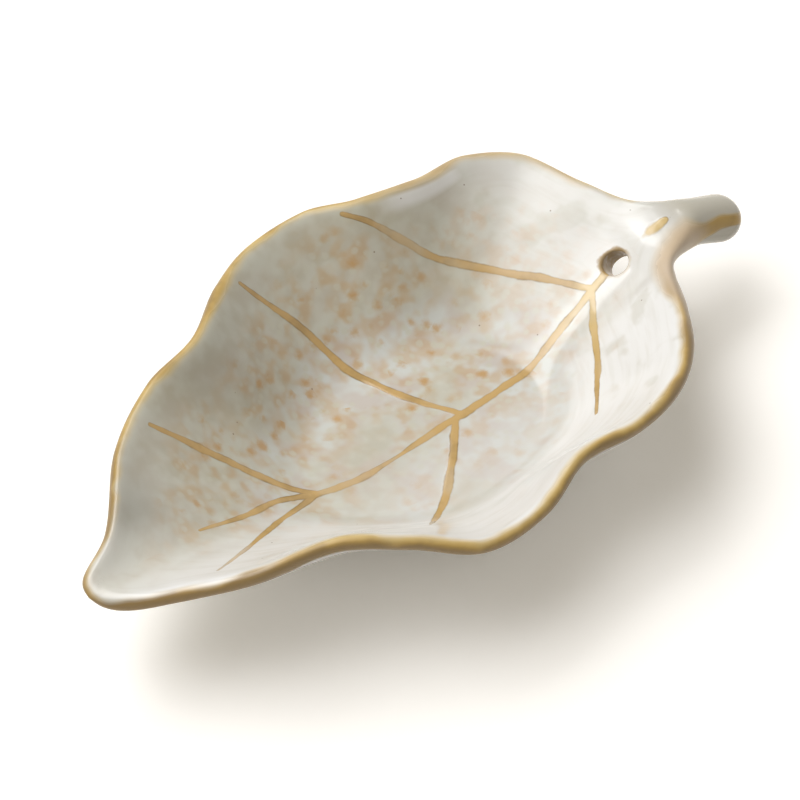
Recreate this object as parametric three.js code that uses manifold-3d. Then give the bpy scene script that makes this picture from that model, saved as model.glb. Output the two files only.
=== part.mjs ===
// A leaf-shaped incense holder in glazed stoneware: a pressed leaf dish with raised veins and a slanted
// stick hole, a stem luted to its neck, and an oval foot ring luted under its floor.
// Millimetres, +Z up. X runs from the tip of the leaf to its stem, and +Y is the leaf's left side.

import * as THREE from 'three';
import { mergeVertices } from 'three/addons/utils/BufferGeometryUtils.js';
import { ParametricGeometry } from 'three/addons/geometries/ParametricGeometry.js';
import Module from 'manifold-3d';

const wasm = await Module();
wasm.setup();

const { lerp, clamp, smoothstep, degToRad } = THREE.MathUtils;

// Leaf outline, measured from the middle of the floor
const TIP_REACH = 69;
const NECK_REACH = 53.5;
const LEFT_REACH = 39;
const RIGHT_REACH = 37;
const RIM_RISE = 19; // floor to the highest point of the rim
const TIP_OFFSET = -1.5; // how far the tip is bent to the right side
const TIP_BEND = 8; // the higher, the nearer to the tip the midrib bends

// Clay thickness, floor and foot
const WALL = 2.8;
const FLOOR_LENGTH = 42;
const FLOOR_WIDTH = 31;
const FOOT_HEIGHT = 3.2;
const FOOT_THICKNESS = 3.4;
const FOOT_INSET = 2.2; // edge of the flat floor to the outside of the foot ring
const FOOT_TAPER = 0.7; // each side of the ring draws in by this towards the table
const FOOT_ROUND = 0.4; // chamfer round the ring's resting face

// Stem, from the neck to its end
const STEM_LENGTH = 16.1;
const STEM_WIDTH = 8.3;
const STEM_HEIGHT = 7.8;
const STEM_DROP = 6.1;
const STEM_KNEE = 10; // neck to the bend of the stem
const STEM_KNEE_DROP = 2.2;
const STEM_SWAY = -1.3; // sideways bend at the end
const STEM_FULL = 5.8; // neck to where the stem has its full width and height
const STEM_END = 3.8; // length of the rounded end
const ROOT_LENGTH = 25; // stretch of the underside that thickens towards the stem
const CROWN_LENGTH = 8; // the same on the upper side
const ROOT_FLARE = 5; // how far that thickening spreads beside the stem
const NECK_LENGTH = 7; // stretch before the neck over which the dish turns into the stem
const LUTE_OFFSET = 3.5; // neck to the joint of the stem
const SLIP_GAP = 0.3; // seam of slip in the joint

// Stick hole
const HOLE_DIAMETER = 4.4;
const HOLE_SETBACK = 8.2; // neck to the middle of the hole
const HOLE_OFFSET = 0.95; // midline of the leaf to the middle of the hole
const HOLE_TILT = 43; // degrees from upright, leaning over the dish

// Veins
const VEIN_WIDTH = 1.6;
const VEIN_HEIGHT = 0.5;
const VEIN_SINK = 0.2; // depth of a vein's thin end under the surface
const VEIN_TAPER = 14; // stretch over which a vein thins out

// Wall form
const FILLET = 12; // width of the curved foot of the wall, seen from above
const FILLET_OFFSET = 3.25; // edge of the floor to the middle of that curve
const RIM_FADE = 2; // how fast the waves of the rim die out towards the floor
const EVENING_ANGLE = 14; // degrees over which the rim is evened out for the lower wall
const EVENING_PASSES = 3;
const DIRECTIONS = 720;

// Facets
const RIM_SAMPLES = 900;
const BODY_AROUND = 60;
const CAP_STEPS = 3;
const BODY_ALONG = 72;
const UPPER_SHARE = 2 / 3; // share of the facets round the body that lie on its upper face
const EDGE_CROWDING = 2.2; // draws the facets towards the rim
const VEIN_STEP = 3;
const VEIN_SIDES = 8;
const HOLE_SIDES = 28;
const FOOT_SIDES = 56;
const MERGE = 1e-4;
const STEP = 1e-3;

// Rows across the leaf from tip to neck. A row has its place on the midrib, then for each side the place
// of the rim along the leaf, its distance from the midline and its rise, as shares of the reaches and the
// rise. The bulk of a row is its share of the full thickness.
const TIP_RISE = 0.58;
const ROWS = [
  { spine: -0.985, left: [-0.985, 0.03, 0.6], right: [-0.98, 0.125, 0.58], bulk: 0.8 },
  { spine: -0.86, left: [-0.865, 0.15, 0.74], right: [-0.87, 0.315, 0.715] },
  { spine: -0.69, left: [-0.71, 0.43, 0.84], right: [-0.715, 0.515, 0.89] },
  { spine: -0.53, left: [-0.535, 0.615, 0.87], right: [-0.58, 0.595, 1] },
  { spine: -0.37, left: [-0.37, 0.68, 0.95], right: [-0.415, 0.81, 0.95] },
  { spine: -0.2, left: [-0.215, 0.87, 0.885], right: [-0.3, 0.975, 0.84] },
  { spine: -0.045, left: [-0.07, 0.985, 0.84], right: [-0.12, 0.985, 0.84] },
  { spine: 0.13, left: [0.13, 0.985, 0.87], right: [0.065, 0.885, 0.92] },
  { spine: 0.3, left: [0.28, 0.87, 0.95], right: [0.27, 0.92, 0.92] },
  { spine: 0.47, left: [0.47, 0.81, 0.935], right: [0.45, 0.865, 0.895] },
  { spine: 0.64, left: [0.68, 0.8, 0.87], right: [0.61, 0.715, 0.87] },
  { spine: 0.77, left: [0.83, 0.68, 0.8], right: [0.735, 0.49, 0.84] },
  { spine: 0.87, left: [0.905, 0.385, 0.76], right: [0.825, 0.288, 0.785] },
  { spine: 0.95, left: [0.98, 0.15, 0.68], right: [0.915, 0.185, 0.65] },
];

// Veins as points of the plan, in shares of the reaches. The midrib runs from the stick hole towards the
// tip, and three veins on each side start on it.
const MIDRIB = [
  [0.62, 0.006], [0.5, -0.003], [0.365, -0.032], [0, -0.042], [-0.22, -0.041],
  [-0.325, 0.01], [-0.42, 0.04], [-0.55, 0.016], [-0.665, 0.02],
];
const SIDE_VEINS = [
  [[0.7, 0.015], [0.62, 0.23], [0.51, 0.44], [0.375, 0.617], [0.212, 0.855]],
  [[0.12, -0.035], [0.037, 0.217], [-0.014, 0.447], [-0.052, 0.62], [-0.155, 0.845]],
  [[-0.325, 0.01], [-0.418, 0.177], [-0.505, 0.33], [-0.6, 0.46]],
  [[0.69, 0.01], [0.587, -0.164], [0.483, -0.341], [0.34, -0.547]],
  [[0.1, -0.038], [-0.027, -0.225], [-0.12, -0.375], [-0.165, -0.423], [-0.265, -0.58]],
  [[-0.33, 0.012], [-0.433, -0.044], [-0.56, -0.134], [-0.753, -0.304]],
];

const glaze = new THREE.MeshStandardMaterial({ color: 0xdfd9cc, roughness: 0.25, metalness: 0 });
const stemGlaze = new THREE.MeshStandardMaterial({ color: 0xcfc6b2, roughness: 0.28, metalness: 0 });
const bareClay = new THREE.MeshStandardMaterial({ color: 0xc7a678, roughness: 0.9, metalness: 0 });

// Height of the middle of the floor's clay over the table
const FLOOR_MIDDLE = FOOT_HEIGHT + WALL / 2;

function planPoint(along, across) {
  const x = along * (along < 0 ? TIP_REACH : NECK_REACH);
  const y = across * (across < 0 ? RIGHT_REACH : LEFT_REACH);
  return new THREE.Vector2(x, y);
}

function rimPoint([along, across, rise], side) {
  const plan = planPoint(along, side * across);
  return new THREE.Vector3(plan.x, plan.y, WALL / 2 + rise * RIM_RISE);
}

// The two edges of the body from the tip to the end of the stem, and the spine between them.
// The z of a spine point is the share of the full thickness there, which is nothing at both ends.
function bodyCurves() {
  const tip = new THREE.Vector3(-TIP_REACH, TIP_OFFSET, WALL / 2 + TIP_RISE * RIM_RISE);
  const left = [tip];
  const right = [tip];
  const spine = [new THREE.Vector3(tip.x, tip.y, 0)];
  for (const row of ROWS) {
    left.push(rimPoint(row.left, 1));
    right.push(rimPoint(row.right, -1));
    const bend = TIP_OFFSET * Math.max(0, -row.spine) ** TIP_BEND;
    spine.push(new THREE.Vector3(planPoint(row.spine, 0).x, bend, row.bulk ?? 1));
  }
  const blade = { left: [...left], right: [...right] };

  const neck = left.at(-1).clone().lerp(right.at(-1), 0.5);
  spine.at(-1).y = neck.y;
  const knee = neck.clone().add(new THREE.Vector3(STEM_KNEE, STEM_SWAY / 2, -STEM_KNEE_DROP));
  const end = neck.clone().add(new THREE.Vector3(STEM_LENGTH, STEM_SWAY, -STEM_DROP));
  const axis = new THREE.QuadraticBezierCurve3(neck, knee, end);
  const roundFrom = 1 - STEM_END / STEM_LENGTH;
  const stations = [[STEM_FULL / STEM_LENGTH, 1], [roundFrom, 1]];
  for (let i = 1; i <= CAP_STEPS; i++) {
    const turn = i / CAP_STEPS * Math.PI / 2;
    stations.push([lerp(roundFrom, 1, Math.sin(turn)), i < CAP_STEPS ? Math.cos(turn) : 0]);
  }
  for (const [share, bulk] of stations) {
    const middle = axis.getPoint(share);
    const half = new THREE.Vector3(0, bulk * STEM_WIDTH / 2, 0);
    left.push(middle.clone().add(half));
    right.push(middle.clone().sub(half));
    spine.push(new THREE.Vector3(middle.x, middle.y, bulk));
  }
  return {
    left: new THREE.CatmullRomCurve3(left),
    right: new THREE.CatmullRomCurve3(right),
    spine: new THREE.CatmullRomCurve3(spine),
    blade,
    neck,
  };
}

const curves = bodyCurves();
const holePlace = new THREE.Vector2(curves.neck.x - HOLE_SETBACK, HOLE_OFFSET);

// The rim of the leaf alone, closed over the neck: its distance and height for each direction from the
// middle of the floor
function rimByDirection() {
  const crown = new THREE.Vector3(NECK_REACH, curves.neck.y, curves.neck.z);
  const loop = [...curves.blade.right, crown, ...curves.blade.left.slice(1).reverse()];
  const points = new THREE.CatmullRomCurve3(loop, true).getPoints(RIM_SAMPLES);
  const reach = new Array(DIRECTIONS);
  const height = new Array(DIRECTIONS);
  const place = (point) => Math.atan2(point.y, point.x) / (2 * Math.PI) * DIRECTIONS;
  for (let i = 0; i < RIM_SAMPLES; i++) {
    const [from, to] = [points[i], points[i + 1]];
    const start = place(from);
    let stop = place(to);
    if (stop < start - DIRECTIONS / 2) {
      stop += DIRECTIONS;
    }
    for (let d = Math.ceil(start); d <= stop; d++) {
      const share = (d - start) / (stop - start);
      const slot = (d + DIRECTIONS) % DIRECTIONS;
      reach[slot] = lerp(Math.hypot(from.x, from.y), Math.hypot(to.x, to.y), share);
      height[slot] = lerp(from.z, to.z, share);
    }
  }
  return { reach, height };
}

// A running mean round the circle, several times over
function evenOut(values) {
  const half = Math.round(EVENING_ANGLE / 360 * DIRECTIONS);
  let even = values;
  for (let pass = 0; pass < EVENING_PASSES; pass++) {
    const last = even;
    even = last.map((_, i) => {
      let sum = 0;
      for (let k = -half; k <= half; k++) {
        sum += last[(i + k + DIRECTIONS) % DIRECTIONS];
      }
      return sum / (2 * half + 1);
    });
  }
  return even;
}

const rim = rimByDirection();
const evenRim = { reach: evenOut(rim.reach), height: evenOut(rim.height) };

function lookUp(values, angle) {
  const place = (angle / (2 * Math.PI) * DIRECTIONS + DIRECTIONS) % DIRECTIONS;
  const slot = Math.floor(place);
  return lerp(values[slot], values[(slot + 1) % DIRECTIONS], place - slot);
}

// Height of a wall at a distance out from the floor's edge, for its width and its height at the rim: the
// slope eases in over the curved foot as 3 t^2 - 2 t^3, whose integral is t^3 - t^4 / 2, and then stays
function wallHeight(out, width, top) {
  const slope = top / (width - FILLET_OFFSET);
  const share = (out - FILLET_OFFSET) / FILLET + 0.5;
  const eased = clamp(share, 0, 1);
  return slope * FILLET * (eased ** 3 - eased ** 4 / 2 + Math.max(0, share - 1));
}

// Height of the middle of the clay over the middle of the floor. The lower wall follows the evened-out rim,
// and the difference to the true rim is added towards the edge.
function dishHeight(x, y) {
  const angle = Math.atan2(y, x);
  const distance = Math.hypot(x, y);
  const floor = 1 / Math.hypot(2 * Math.cos(angle) / FLOOR_LENGTH, 2 * Math.sin(angle) / FLOOR_WIDTH);
  const edge = lookUp(rim.reach, angle);
  const evenEdge = lookUp(evenRim.reach, angle);
  const evenTop = lookUp(evenRim.height, angle);
  const even = wallHeight(distance - floor, evenEdge - floor, evenTop);
  const evenAtEdge = wallHeight(edge - floor, evenEdge - floor, evenTop);
  const outward = Math.max(0, (distance - floor) / (edge - floor));
  return even + (lookUp(rim.height, angle) - evenAtEdge) * outward ** RIM_FADE;
}

// A point in the middle of the clay: along runs from the tip to the end of the stem, across from -1 at the
// right edge to 1 at the left
function middlePoint(along, across) {
  const left = curves.left.getPoint(along);
  const right = curves.right.getPoint(along);
  const spine = curves.spine.getPoint(along);
  const edge = across < 0 ? right : left;
  const x = lerp(spine.x, edge.x, Math.abs(across));
  const y = lerp(spine.y, edge.y, Math.abs(across));
  const stem = smoothstep(spine.x, curves.neck.x - NECK_LENGTH, curves.neck.x + LUTE_OFFSET);
  const straight = lerp(right.z, left.z, (across + 1) / 2);
  const z = stem === 1 ? straight : lerp(dishHeight(x, y), straight, stem);
  return new THREE.Vector3(x, y, FLOOR_MIDDLE + z);
}

// Half thickness of the clay over and under its middle, which grows to that of the stem along its root
function halfThickness(x, y, side) {
  const full = curves.neck.x + STEM_FULL;
  const start = full - (side > 0 ? CROWN_LENGTH : ROOT_LENGTH);
  const beside = Math.max(0, Math.abs(y - curves.neck.y) - STEM_WIDTH / 2) / ROOT_FLARE;
  const swell = smoothstep(x, start, full) * Math.exp(-(beside ** 2));
  return lerp(WALL, STEM_HEIGHT, swell) / 2;
}

// The closed skin: once round is over the upper face from the left edge to the right and back underneath
function bodyPoint(round, along, target) {
  const side = round < UPPER_SHARE ? 1 : -1;
  const turn = side > 0 ? 2 * round / UPPER_SHARE - 1 : 1 - 2 * (round - UPPER_SHARE) / (1 - UPPER_SHARE);
  const inward = 1 - Math.abs(turn);
  const across = -Math.sign(turn) * (1 - inward ** EDGE_CROWDING);
  const middle = middlePoint(along, across);
  const bulk = Math.max(0, curves.spine.getPoint(along).z);
  if (bulk === 0 || inward === 0) {
    return target.copy(middle);
  }
  const lengthwise = middlePoint(along + (along < 0.5 ? STEP : -STEP), across).sub(middle);
  const sideways = middlePoint(along, across + (across > 0 ? -STEP : STEP)).sub(middle);
  const normal = lengthwise.cross(sideways).normalize();
  if (normal.z < 0) {
    normal.negate();
  }
  const half = halfThickness(middle.x, middle.y, side);
  const ribLength = Math.abs(curves.left.getPoint(along).y - curves.right.getPoint(along).y) / 2;
  const squareness = Math.max(2, 2 * ribLength / half);
  const offset = side * half * bulk * Math.sqrt(1 - Math.abs(across) ** squareness);
  return target.copy(middle).addScaledVector(normal, offset);
}

// Height of the upper face of the leaf at a point of the plan
function upperFace(x, y) {
  const height = dishHeight(x, y);
  const slopeX = (dishHeight(x + STEP, y) - height) / STEP;
  const slopeY = (dishHeight(x, y + STEP) - height) / STEP;
  return FLOOR_MIDDLE + height + halfThickness(x, y, 1) * Math.hypot(1, slopeX, slopeY);
}

// A vein is a round trail half sunk into the upper face, sinking out of sight at its thin end
function veinGeometry(points) {
  const plan = new THREE.SplineCurve(points);
  const length = plan.getLength();
  const steps = Math.ceil(length / VEIN_STEP);
  const radius = VEIN_WIDTH / 2;
  const trail = plan.getSpacedPoints(steps).map((point, i) => {
    const thin = smoothstep(i / steps * length, length - VEIN_TAPER, length);
    const depth = lerp(radius - VEIN_HEIGHT, radius + VEIN_SINK, thin);
    return new THREE.Vector3(point.x, point.y, upperFace(point.x, point.y) - depth);
  });
  const section = new THREE.Shape().absarc(0, 0, radius, 0, 2 * Math.PI);
  return new THREE.ExtrudeGeometry(section, {
    steps,
    curveSegments: VEIN_SIDES,
    extrudePath: new THREE.CatmullRomCurve3(trail),
  });
}

// The stick hole stands square on the wall, leaning over the dish
function holeGeometry() {
  const length = 2 * (WALL + STEM_HEIGHT);
  const hole = new THREE.CylinderGeometry(HOLE_DIAMETER / 2, HOLE_DIAMETER / 2, length, HOLE_SIDES);
  hole.rotateX(Math.PI / 2);
  hole.rotateY(-degToRad(HOLE_TILT));
  return hole.translate(holePlace.x, holePlace.y, upperFace(holePlace.x, holePlace.y));
}

// Section of the foot ring, from its middle line outwards and from the table up: it draws in towards the
// table, where its edges are chamfered
const halfFoot = FOOT_THICKNESS / 2;
const footSection = [
  [halfFoot - FOOT_TAPER, FOOT_ROUND],
  [halfFoot - FOOT_TAPER - FOOT_ROUND, 0],
  [-halfFoot + FOOT_TAPER + FOOT_ROUND, 0],
  [-halfFoot + FOOT_TAPER, FOOT_ROUND],
  [-halfFoot, FOOT_HEIGHT],
  [halfFoot, FOOT_HEIGHT],
];

// The foot ring carries its section round an oval inside the edge of the floor
function footPoint(round, turn, target) {
  const [out, up] = footSection[Math.round(round * footSection.length) % footSection.length];
  const angle = turn * 2 * Math.PI;
  const long = FLOOR_LENGTH / 2 - FOOT_INSET - halfFoot;
  const wide = FLOOR_WIDTH / 2 - FOOT_INSET - halfFoot;
  const outward = new THREE.Vector2(Math.cos(angle) / long, Math.sin(angle) / wide).normalize();
  return target.set(
    long * Math.cos(angle) + out * outward.x,
    wide * Math.sin(angle) + out * outward.y,
    up,
  );
}

// A closed solid from a geometry, with its seams merged and its collapsed facets at the poles left out
function solidOf(geometry) {
  const bare = new THREE.BufferGeometry();
  bare.setAttribute('position', geometry.getAttribute('position'));
  bare.setIndex(geometry.getIndex());
  const merged = mergeVertices(bare, MERGE);
  const index = merged.getIndex().array;
  const triangles = [];
  for (let i = 0; i < index.length; i += 3) {
    const [a, b, c] = index.slice(i, i + 3);
    if (a !== b && b !== c && c !== a) {
      triangles.push(a, b, c);
    }
  }
  return new wasm.Manifold(new wasm.Mesh({
    numProp: 3,
    vertProperties: new Float32Array(merged.getAttribute('position').array),
    triVerts: new Uint32Array(triangles),
  }));
}

function meshOf(name, solid, material) {
  const { vertProperties, triVerts } = solid.getMesh();
  const geometry = new THREE.BufferGeometry();
  geometry.setAttribute('position', new THREE.BufferAttribute(new Float32Array(vertProperties), 3));
  geometry.setIndex(new THREE.BufferAttribute(new Uint32Array(triVerts), 1));
  geometry.computeVertexNormals();
  const mesh = new THREE.Mesh(geometry, material);
  mesh.name = name;
  return mesh;
}

// Everything beyond an upright plane across the stem
function beyond(x) {
  const size = 2 * (TIP_REACH + NECK_REACH + STEM_LENGTH);
  return solidOf(new THREE.BoxGeometry(size, size, size).translate(x + size / 2, 0, 0));
}

const body = solidOf(new ParametricGeometry(bodyPoint, BODY_AROUND, BODY_ALONG));
const joint = curves.neck.x + LUTE_OFFSET;
let dish = body.subtract(beyond(joint));
const onPlan = (vein) => vein.map(([along, across]) => planPoint(along, across));
for (const points of [[holePlace, ...onPlan(MIDRIB)], ...SIDE_VEINS.map(onPlan)]) {
  dish = dish.add(solidOf(veinGeometry(points)));
}
dish = dish.subtract(solidOf(holeGeometry()));
const stem = body.intersect(beyond(joint + SLIP_GAP));
const foot = solidOf(new ParametricGeometry(footPoint, footSection.length, FOOT_SIDES));

const holder = new THREE.Group();
holder.add(meshOf('leaf_dish', dish, glaze));
holder.add(meshOf('stem', stem, stemGlaze));
holder.add(meshOf('foot_ring', foot, bareClay));

// The origin is on the table under the middle of the whole holder
const box = new THREE.Box3().setFromObject(holder);
const middle = box.getCenter(new THREE.Vector3());
holder.position.set(-middle.x, -middle.y, 0);

export default holder;
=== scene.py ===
"""Leaf-shaped incense holder in glazed stoneware: a leaf dish with raised veins and a slanted stick hole,
its stem, the bare foot ring under it, and a plain studio stage. Metres, +Z up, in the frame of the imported
solids.
"""

import math

import bpy
import numpy as np
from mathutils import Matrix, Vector


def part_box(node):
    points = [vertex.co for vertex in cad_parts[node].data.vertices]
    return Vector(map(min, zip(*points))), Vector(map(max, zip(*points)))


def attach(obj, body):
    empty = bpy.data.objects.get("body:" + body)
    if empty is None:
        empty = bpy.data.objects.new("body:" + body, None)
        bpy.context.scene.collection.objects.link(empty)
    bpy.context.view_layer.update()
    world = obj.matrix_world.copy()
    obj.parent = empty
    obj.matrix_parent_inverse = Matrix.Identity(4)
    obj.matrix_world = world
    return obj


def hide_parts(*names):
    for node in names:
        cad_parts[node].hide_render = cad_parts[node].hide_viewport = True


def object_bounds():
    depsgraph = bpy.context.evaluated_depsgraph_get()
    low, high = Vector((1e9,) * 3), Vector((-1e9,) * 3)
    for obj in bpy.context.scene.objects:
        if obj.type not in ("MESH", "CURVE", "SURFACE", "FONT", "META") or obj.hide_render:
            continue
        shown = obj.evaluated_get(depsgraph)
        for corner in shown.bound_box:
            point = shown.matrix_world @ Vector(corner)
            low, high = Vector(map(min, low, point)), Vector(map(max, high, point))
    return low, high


bl_info = {
    "name": "Leaf incense holder",
    "version": (1, 0, 0),
    "blender": (4, 5, 0),
    "location": "View3D > Sidebar > Leaf holder",
    "description": "Builds a leaf-shaped stoneware incense holder and its studio stage",
    "category": "Add Mesh",
}

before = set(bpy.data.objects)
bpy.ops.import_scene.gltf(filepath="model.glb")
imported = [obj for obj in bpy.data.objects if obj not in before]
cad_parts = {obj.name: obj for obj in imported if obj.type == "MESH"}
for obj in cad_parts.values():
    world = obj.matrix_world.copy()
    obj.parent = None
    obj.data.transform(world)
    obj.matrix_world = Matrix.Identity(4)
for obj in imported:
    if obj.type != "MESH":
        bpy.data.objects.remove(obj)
CAD_LOW, CAD_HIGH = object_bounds()
FOOT_LOW, FOOT_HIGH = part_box("foot_ring")
FOOT_MIDDLE = Vector((*((FOOT_LOW + FOOT_HIGH) / 2).xy, FOOT_LOW.z))

MM = 0.001

# Rows across the leaf from tip to neck: the place on the midrib, then for the left and the right rim the
# place along the leaf, the distance from the midline and the rise, all as shares, and the share of the
# thickness
RIM_ROWS = (
    (-0.985, -0.985, 0.03, 0.6, -0.98, 0.125, 0.58, 0.8),
    (-0.86, -0.865, 0.15, 0.74, -0.87, 0.315, 0.715, 1),
    (-0.69, -0.71, 0.43, 0.84, -0.715, 0.515, 0.89, 1),
    (-0.53, -0.535, 0.615, 0.87, -0.58, 0.595, 1, 1),
    (-0.37, -0.37, 0.68, 0.95, -0.415, 0.81, 0.95, 1),
    (-0.2, -0.215, 0.87, 0.885, -0.3, 0.975, 0.84, 1),
    (-0.045, -0.07, 0.985, 0.84, -0.12, 0.985, 0.84, 1),
    (0.13, 0.13, 0.985, 0.87, 0.065, 0.885, 0.92, 1),
    (0.3, 0.28, 0.87, 0.95, 0.27, 0.92, 0.92, 1),
    (0.47, 0.47, 0.81, 0.935, 0.45, 0.865, 0.895, 1),
    (0.64, 0.68, 0.8, 0.87, 0.61, 0.715, 0.87, 1),
    (0.77, 0.83, 0.68, 0.8, 0.735, 0.49, 0.84, 1),
    (0.87, 0.905, 0.385, 0.76, 0.825, 0.288, 0.785, 1),
    (0.95, 0.98, 0.15, 0.68, 0.915, 0.185, 0.65, 1),
)

# Rise of the tip as a share of the rim's, and the power with which the midrib bends towards the tip
TIP_RISE = 0.58
TIP_BEND = 8

# Veins as points of the plan, in shares of the leaf's reaches, with the share of the full width at each point
VEINS = (
    ((0.785, 0.028, 0.7), (0.72, 0.02, 1), (0.62, 0.006, 1), (0.5, -0.003, 1), (0.365, -0.032, 1),
     (0, -0.042, 1), (-0.12, -0.043, 0.5), (-0.22, -0.041, 1), (-0.325, 0.01, 1), (-0.42, 0.04, 0.85),
     (-0.55, 0.016, 0.7), (-0.665, 0.02, 0.3)),
    ((0.7, 0.015, 0.8), (0.62, 0.23, 1), (0.51, 0.44, 1), (0.375, 0.617, 1), (0.212, 0.855, 0.6)),
    ((0.12, -0.035, 0.8), (0.037, 0.217, 1), (-0.014, 0.447, 1), (-0.052, 0.62, 1), (-0.155, 0.845, 0.6)),
    ((-0.325, 0.01, 0.8), (-0.418, 0.177, 1.1), (-0.505, 0.33, 1), (-0.6, 0.46, 0.55)),
    ((0.69, 0.01, 0.8), (0.587, -0.164, 1), (0.483, -0.341, 0.9), (0.34, -0.547, 0.4)),
    ((0.1, -0.038, 0.8), (-0.027, -0.225, 1), (-0.12, -0.375, 1), (-0.165, -0.423, 0.9),
     (-0.265, -0.58, 0.4)),
    ((-0.33, 0.012, 0.8), (-0.433, -0.044, 0.7), (-0.56, -0.134, 0.65), (-0.753, -0.304, 0.4)),
    ((0.85, 0.012, 0.25), (0.872, 0.002, 0.7), (0.9, -0.006, 1.5), (0.935, -0.013, 1.8), (0.972, -0.019, 1)),
)

# Waves that the hands leave in the clay: length in millimetres, direction in degrees, phase in turns and
# height in millimetres
HAND_WAVES = (
    (31, 20, 0.1, 0.06),
    (23, 75, 0.45, 0.05),
    (17, 130, 0.7, 0.035),
    (13, 165, 0.25, 0.02),
    (11, 50, 0.9, 0.015),
)

# Directions from the object to the two softboxes
KEY_FROM = (-0.333, 0.259, 0.906)
BACK_FROM = (0.02, 0.585, 0.811)

# Steps of the foot ring's section and round its oval, how far it reaches into the floor and how far its sides
# are hollowed
FOOT_STEPS = 6
FOOT_AROUND = 240
FOOT_SINK = 0.3 * MM
FOOT_HOLLOW = 0.06 * MM

NO_TRIANGLES = np.zeros((0, 3), int)


def length(name, description, millimetres):
    """A property that holds a length."""
    return bpy.props.FloatProperty(
        name=name,
        description=description,
        default=millimetres * MM,
        subtype="DISTANCE",
        unit="LENGTH",
        precision=5,
    )


def angle(name, description, degrees):
    """A property that holds an angle."""
    return bpy.props.FloatProperty(
        name=name,
        description=description,
        default=math.radians(degrees),
        subtype="ANGLE",
        unit="ROTATION",
    )


def amount(name, description, default, unit="NONE"):
    """A property that holds a plain number."""
    return bpy.props.FloatProperty(name=name, description=description, default=default, unit=unit)


def colour(name, description, red, green, blue):
    """A property that holds a colour."""
    return bpy.props.FloatVectorProperty(
        name=name,
        description=description,
        default=(red, green, blue),
        subtype="COLOR",
        size=3,
        min=0,
        max=1,
    )


class LeafSizes(bpy.types.PropertyGroup):
    """Sizes of the leaf dish, measured from the middle of its floor"""

    tip_reach: length("Tip reach", "Middle of the floor to the tip of the leaf", 69)
    neck_reach: length("Neck reach", "Middle of the floor to the neck of the leaf", 53.5)
    left_reach: length("Left reach", "Midline to the widest place of the left side", 39)
    right_reach: length("Right reach", "Midline to the widest place of the right side", 37)
    rim_rise: length("Rim rise", "Floor to the highest point of the rim", 19)
    tip_offset: length("Tip offset", "How far the tip bends to the left side", -1.5)
    wall: length("Wall", "Thickness of the clay", 2.8)
    floor_length: length("Floor length", "Length of the flat oval floor", 42)
    floor_width: length("Floor width", "Width of the flat oval floor", 31)
    fillet: length("Fillet", "Width of the curved foot of the wall", 12)
    fillet_shift: length("Fillet shift", "Edge of the floor to the middle of the fillet", 3.25)


class StemSizes(bpy.types.PropertyGroup):
    """Sizes of the stem, measured from the neck of the leaf"""

    reach: length("Reach", "Neck to the end of the stem", 16.1)
    width: length("Width", "Width of the stem", 8.3)
    height: length("Height", "Height of the stem", 7.8)
    drop: length("Drop", "How far the end of the stem hangs below the neck", 6.1)
    knee: length("Knee", "Neck to the bend of the stem", 10)
    knee_drop: length("Knee drop", "How far the bend lies below the neck", 2.2)
    sway: length("Sway", "Sideways bend at the end", -1.3)
    full: length("Full", "Neck to where the stem has its full section", 5.8)
    round_end: length("Round end", "Length of the rounded end", 3.8)
    root: length("Root", "Stretch of the underside that thickens towards the stem", 25)
    crown: length("Crown", "Stretch of the upper side that thickens towards the stem", 8)
    flare: length("Flare", "How far that thickening spreads beside the stem", 5)
    neck_length: length("Neck length", "Stretch over which the dish turns into the stem", 7)
    joint: length("Joint", "Neck to the joint between leaf and stem", 3.5)


class HoleSizes(bpy.types.PropertyGroup):
    """Sizes of the stick hole"""

    diameter: length("Diameter", "Width of the hole", 4.4)
    setback: length("Setback", "Neck to the middle of the hole", 8.2)
    offset: length("Offset", "Midline to the middle of the hole", 0.95)
    tilt: angle("Tilt", "Lean of the hole over the dish", 43)
    lip: length("Lip", "Rounding of the hole's edge", 0.45)


class VeinSizes(bpy.types.PropertyGroup):
    """Sizes of the raised veins"""

    width: length("Width", "Width of a vein", 1.4)
    height: length("Height", "Height of a vein over the dish", 0.08)
    wobble: length("Wobble", "How far the trailing hand strays sideways", 0.12)


class FootSizes(bpy.types.PropertyGroup):
    """Sizes of the foot ring"""

    height: length("Height", "Table to the underside of the floor", (FOOT_HIGH.z - FOOT_LOW.z) / MM)
    thickness: length("Thickness", "Thickness of the ring where it meets the floor", 3.4)
    inset: length("Inset", "Edge of the floor to the outside of the ring", 2.2)
    taper: length("Taper", "How far each side draws in towards the table", 0.7)
    edge: length("Edge", "Rounding of the edges on the table", 0.4)


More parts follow.
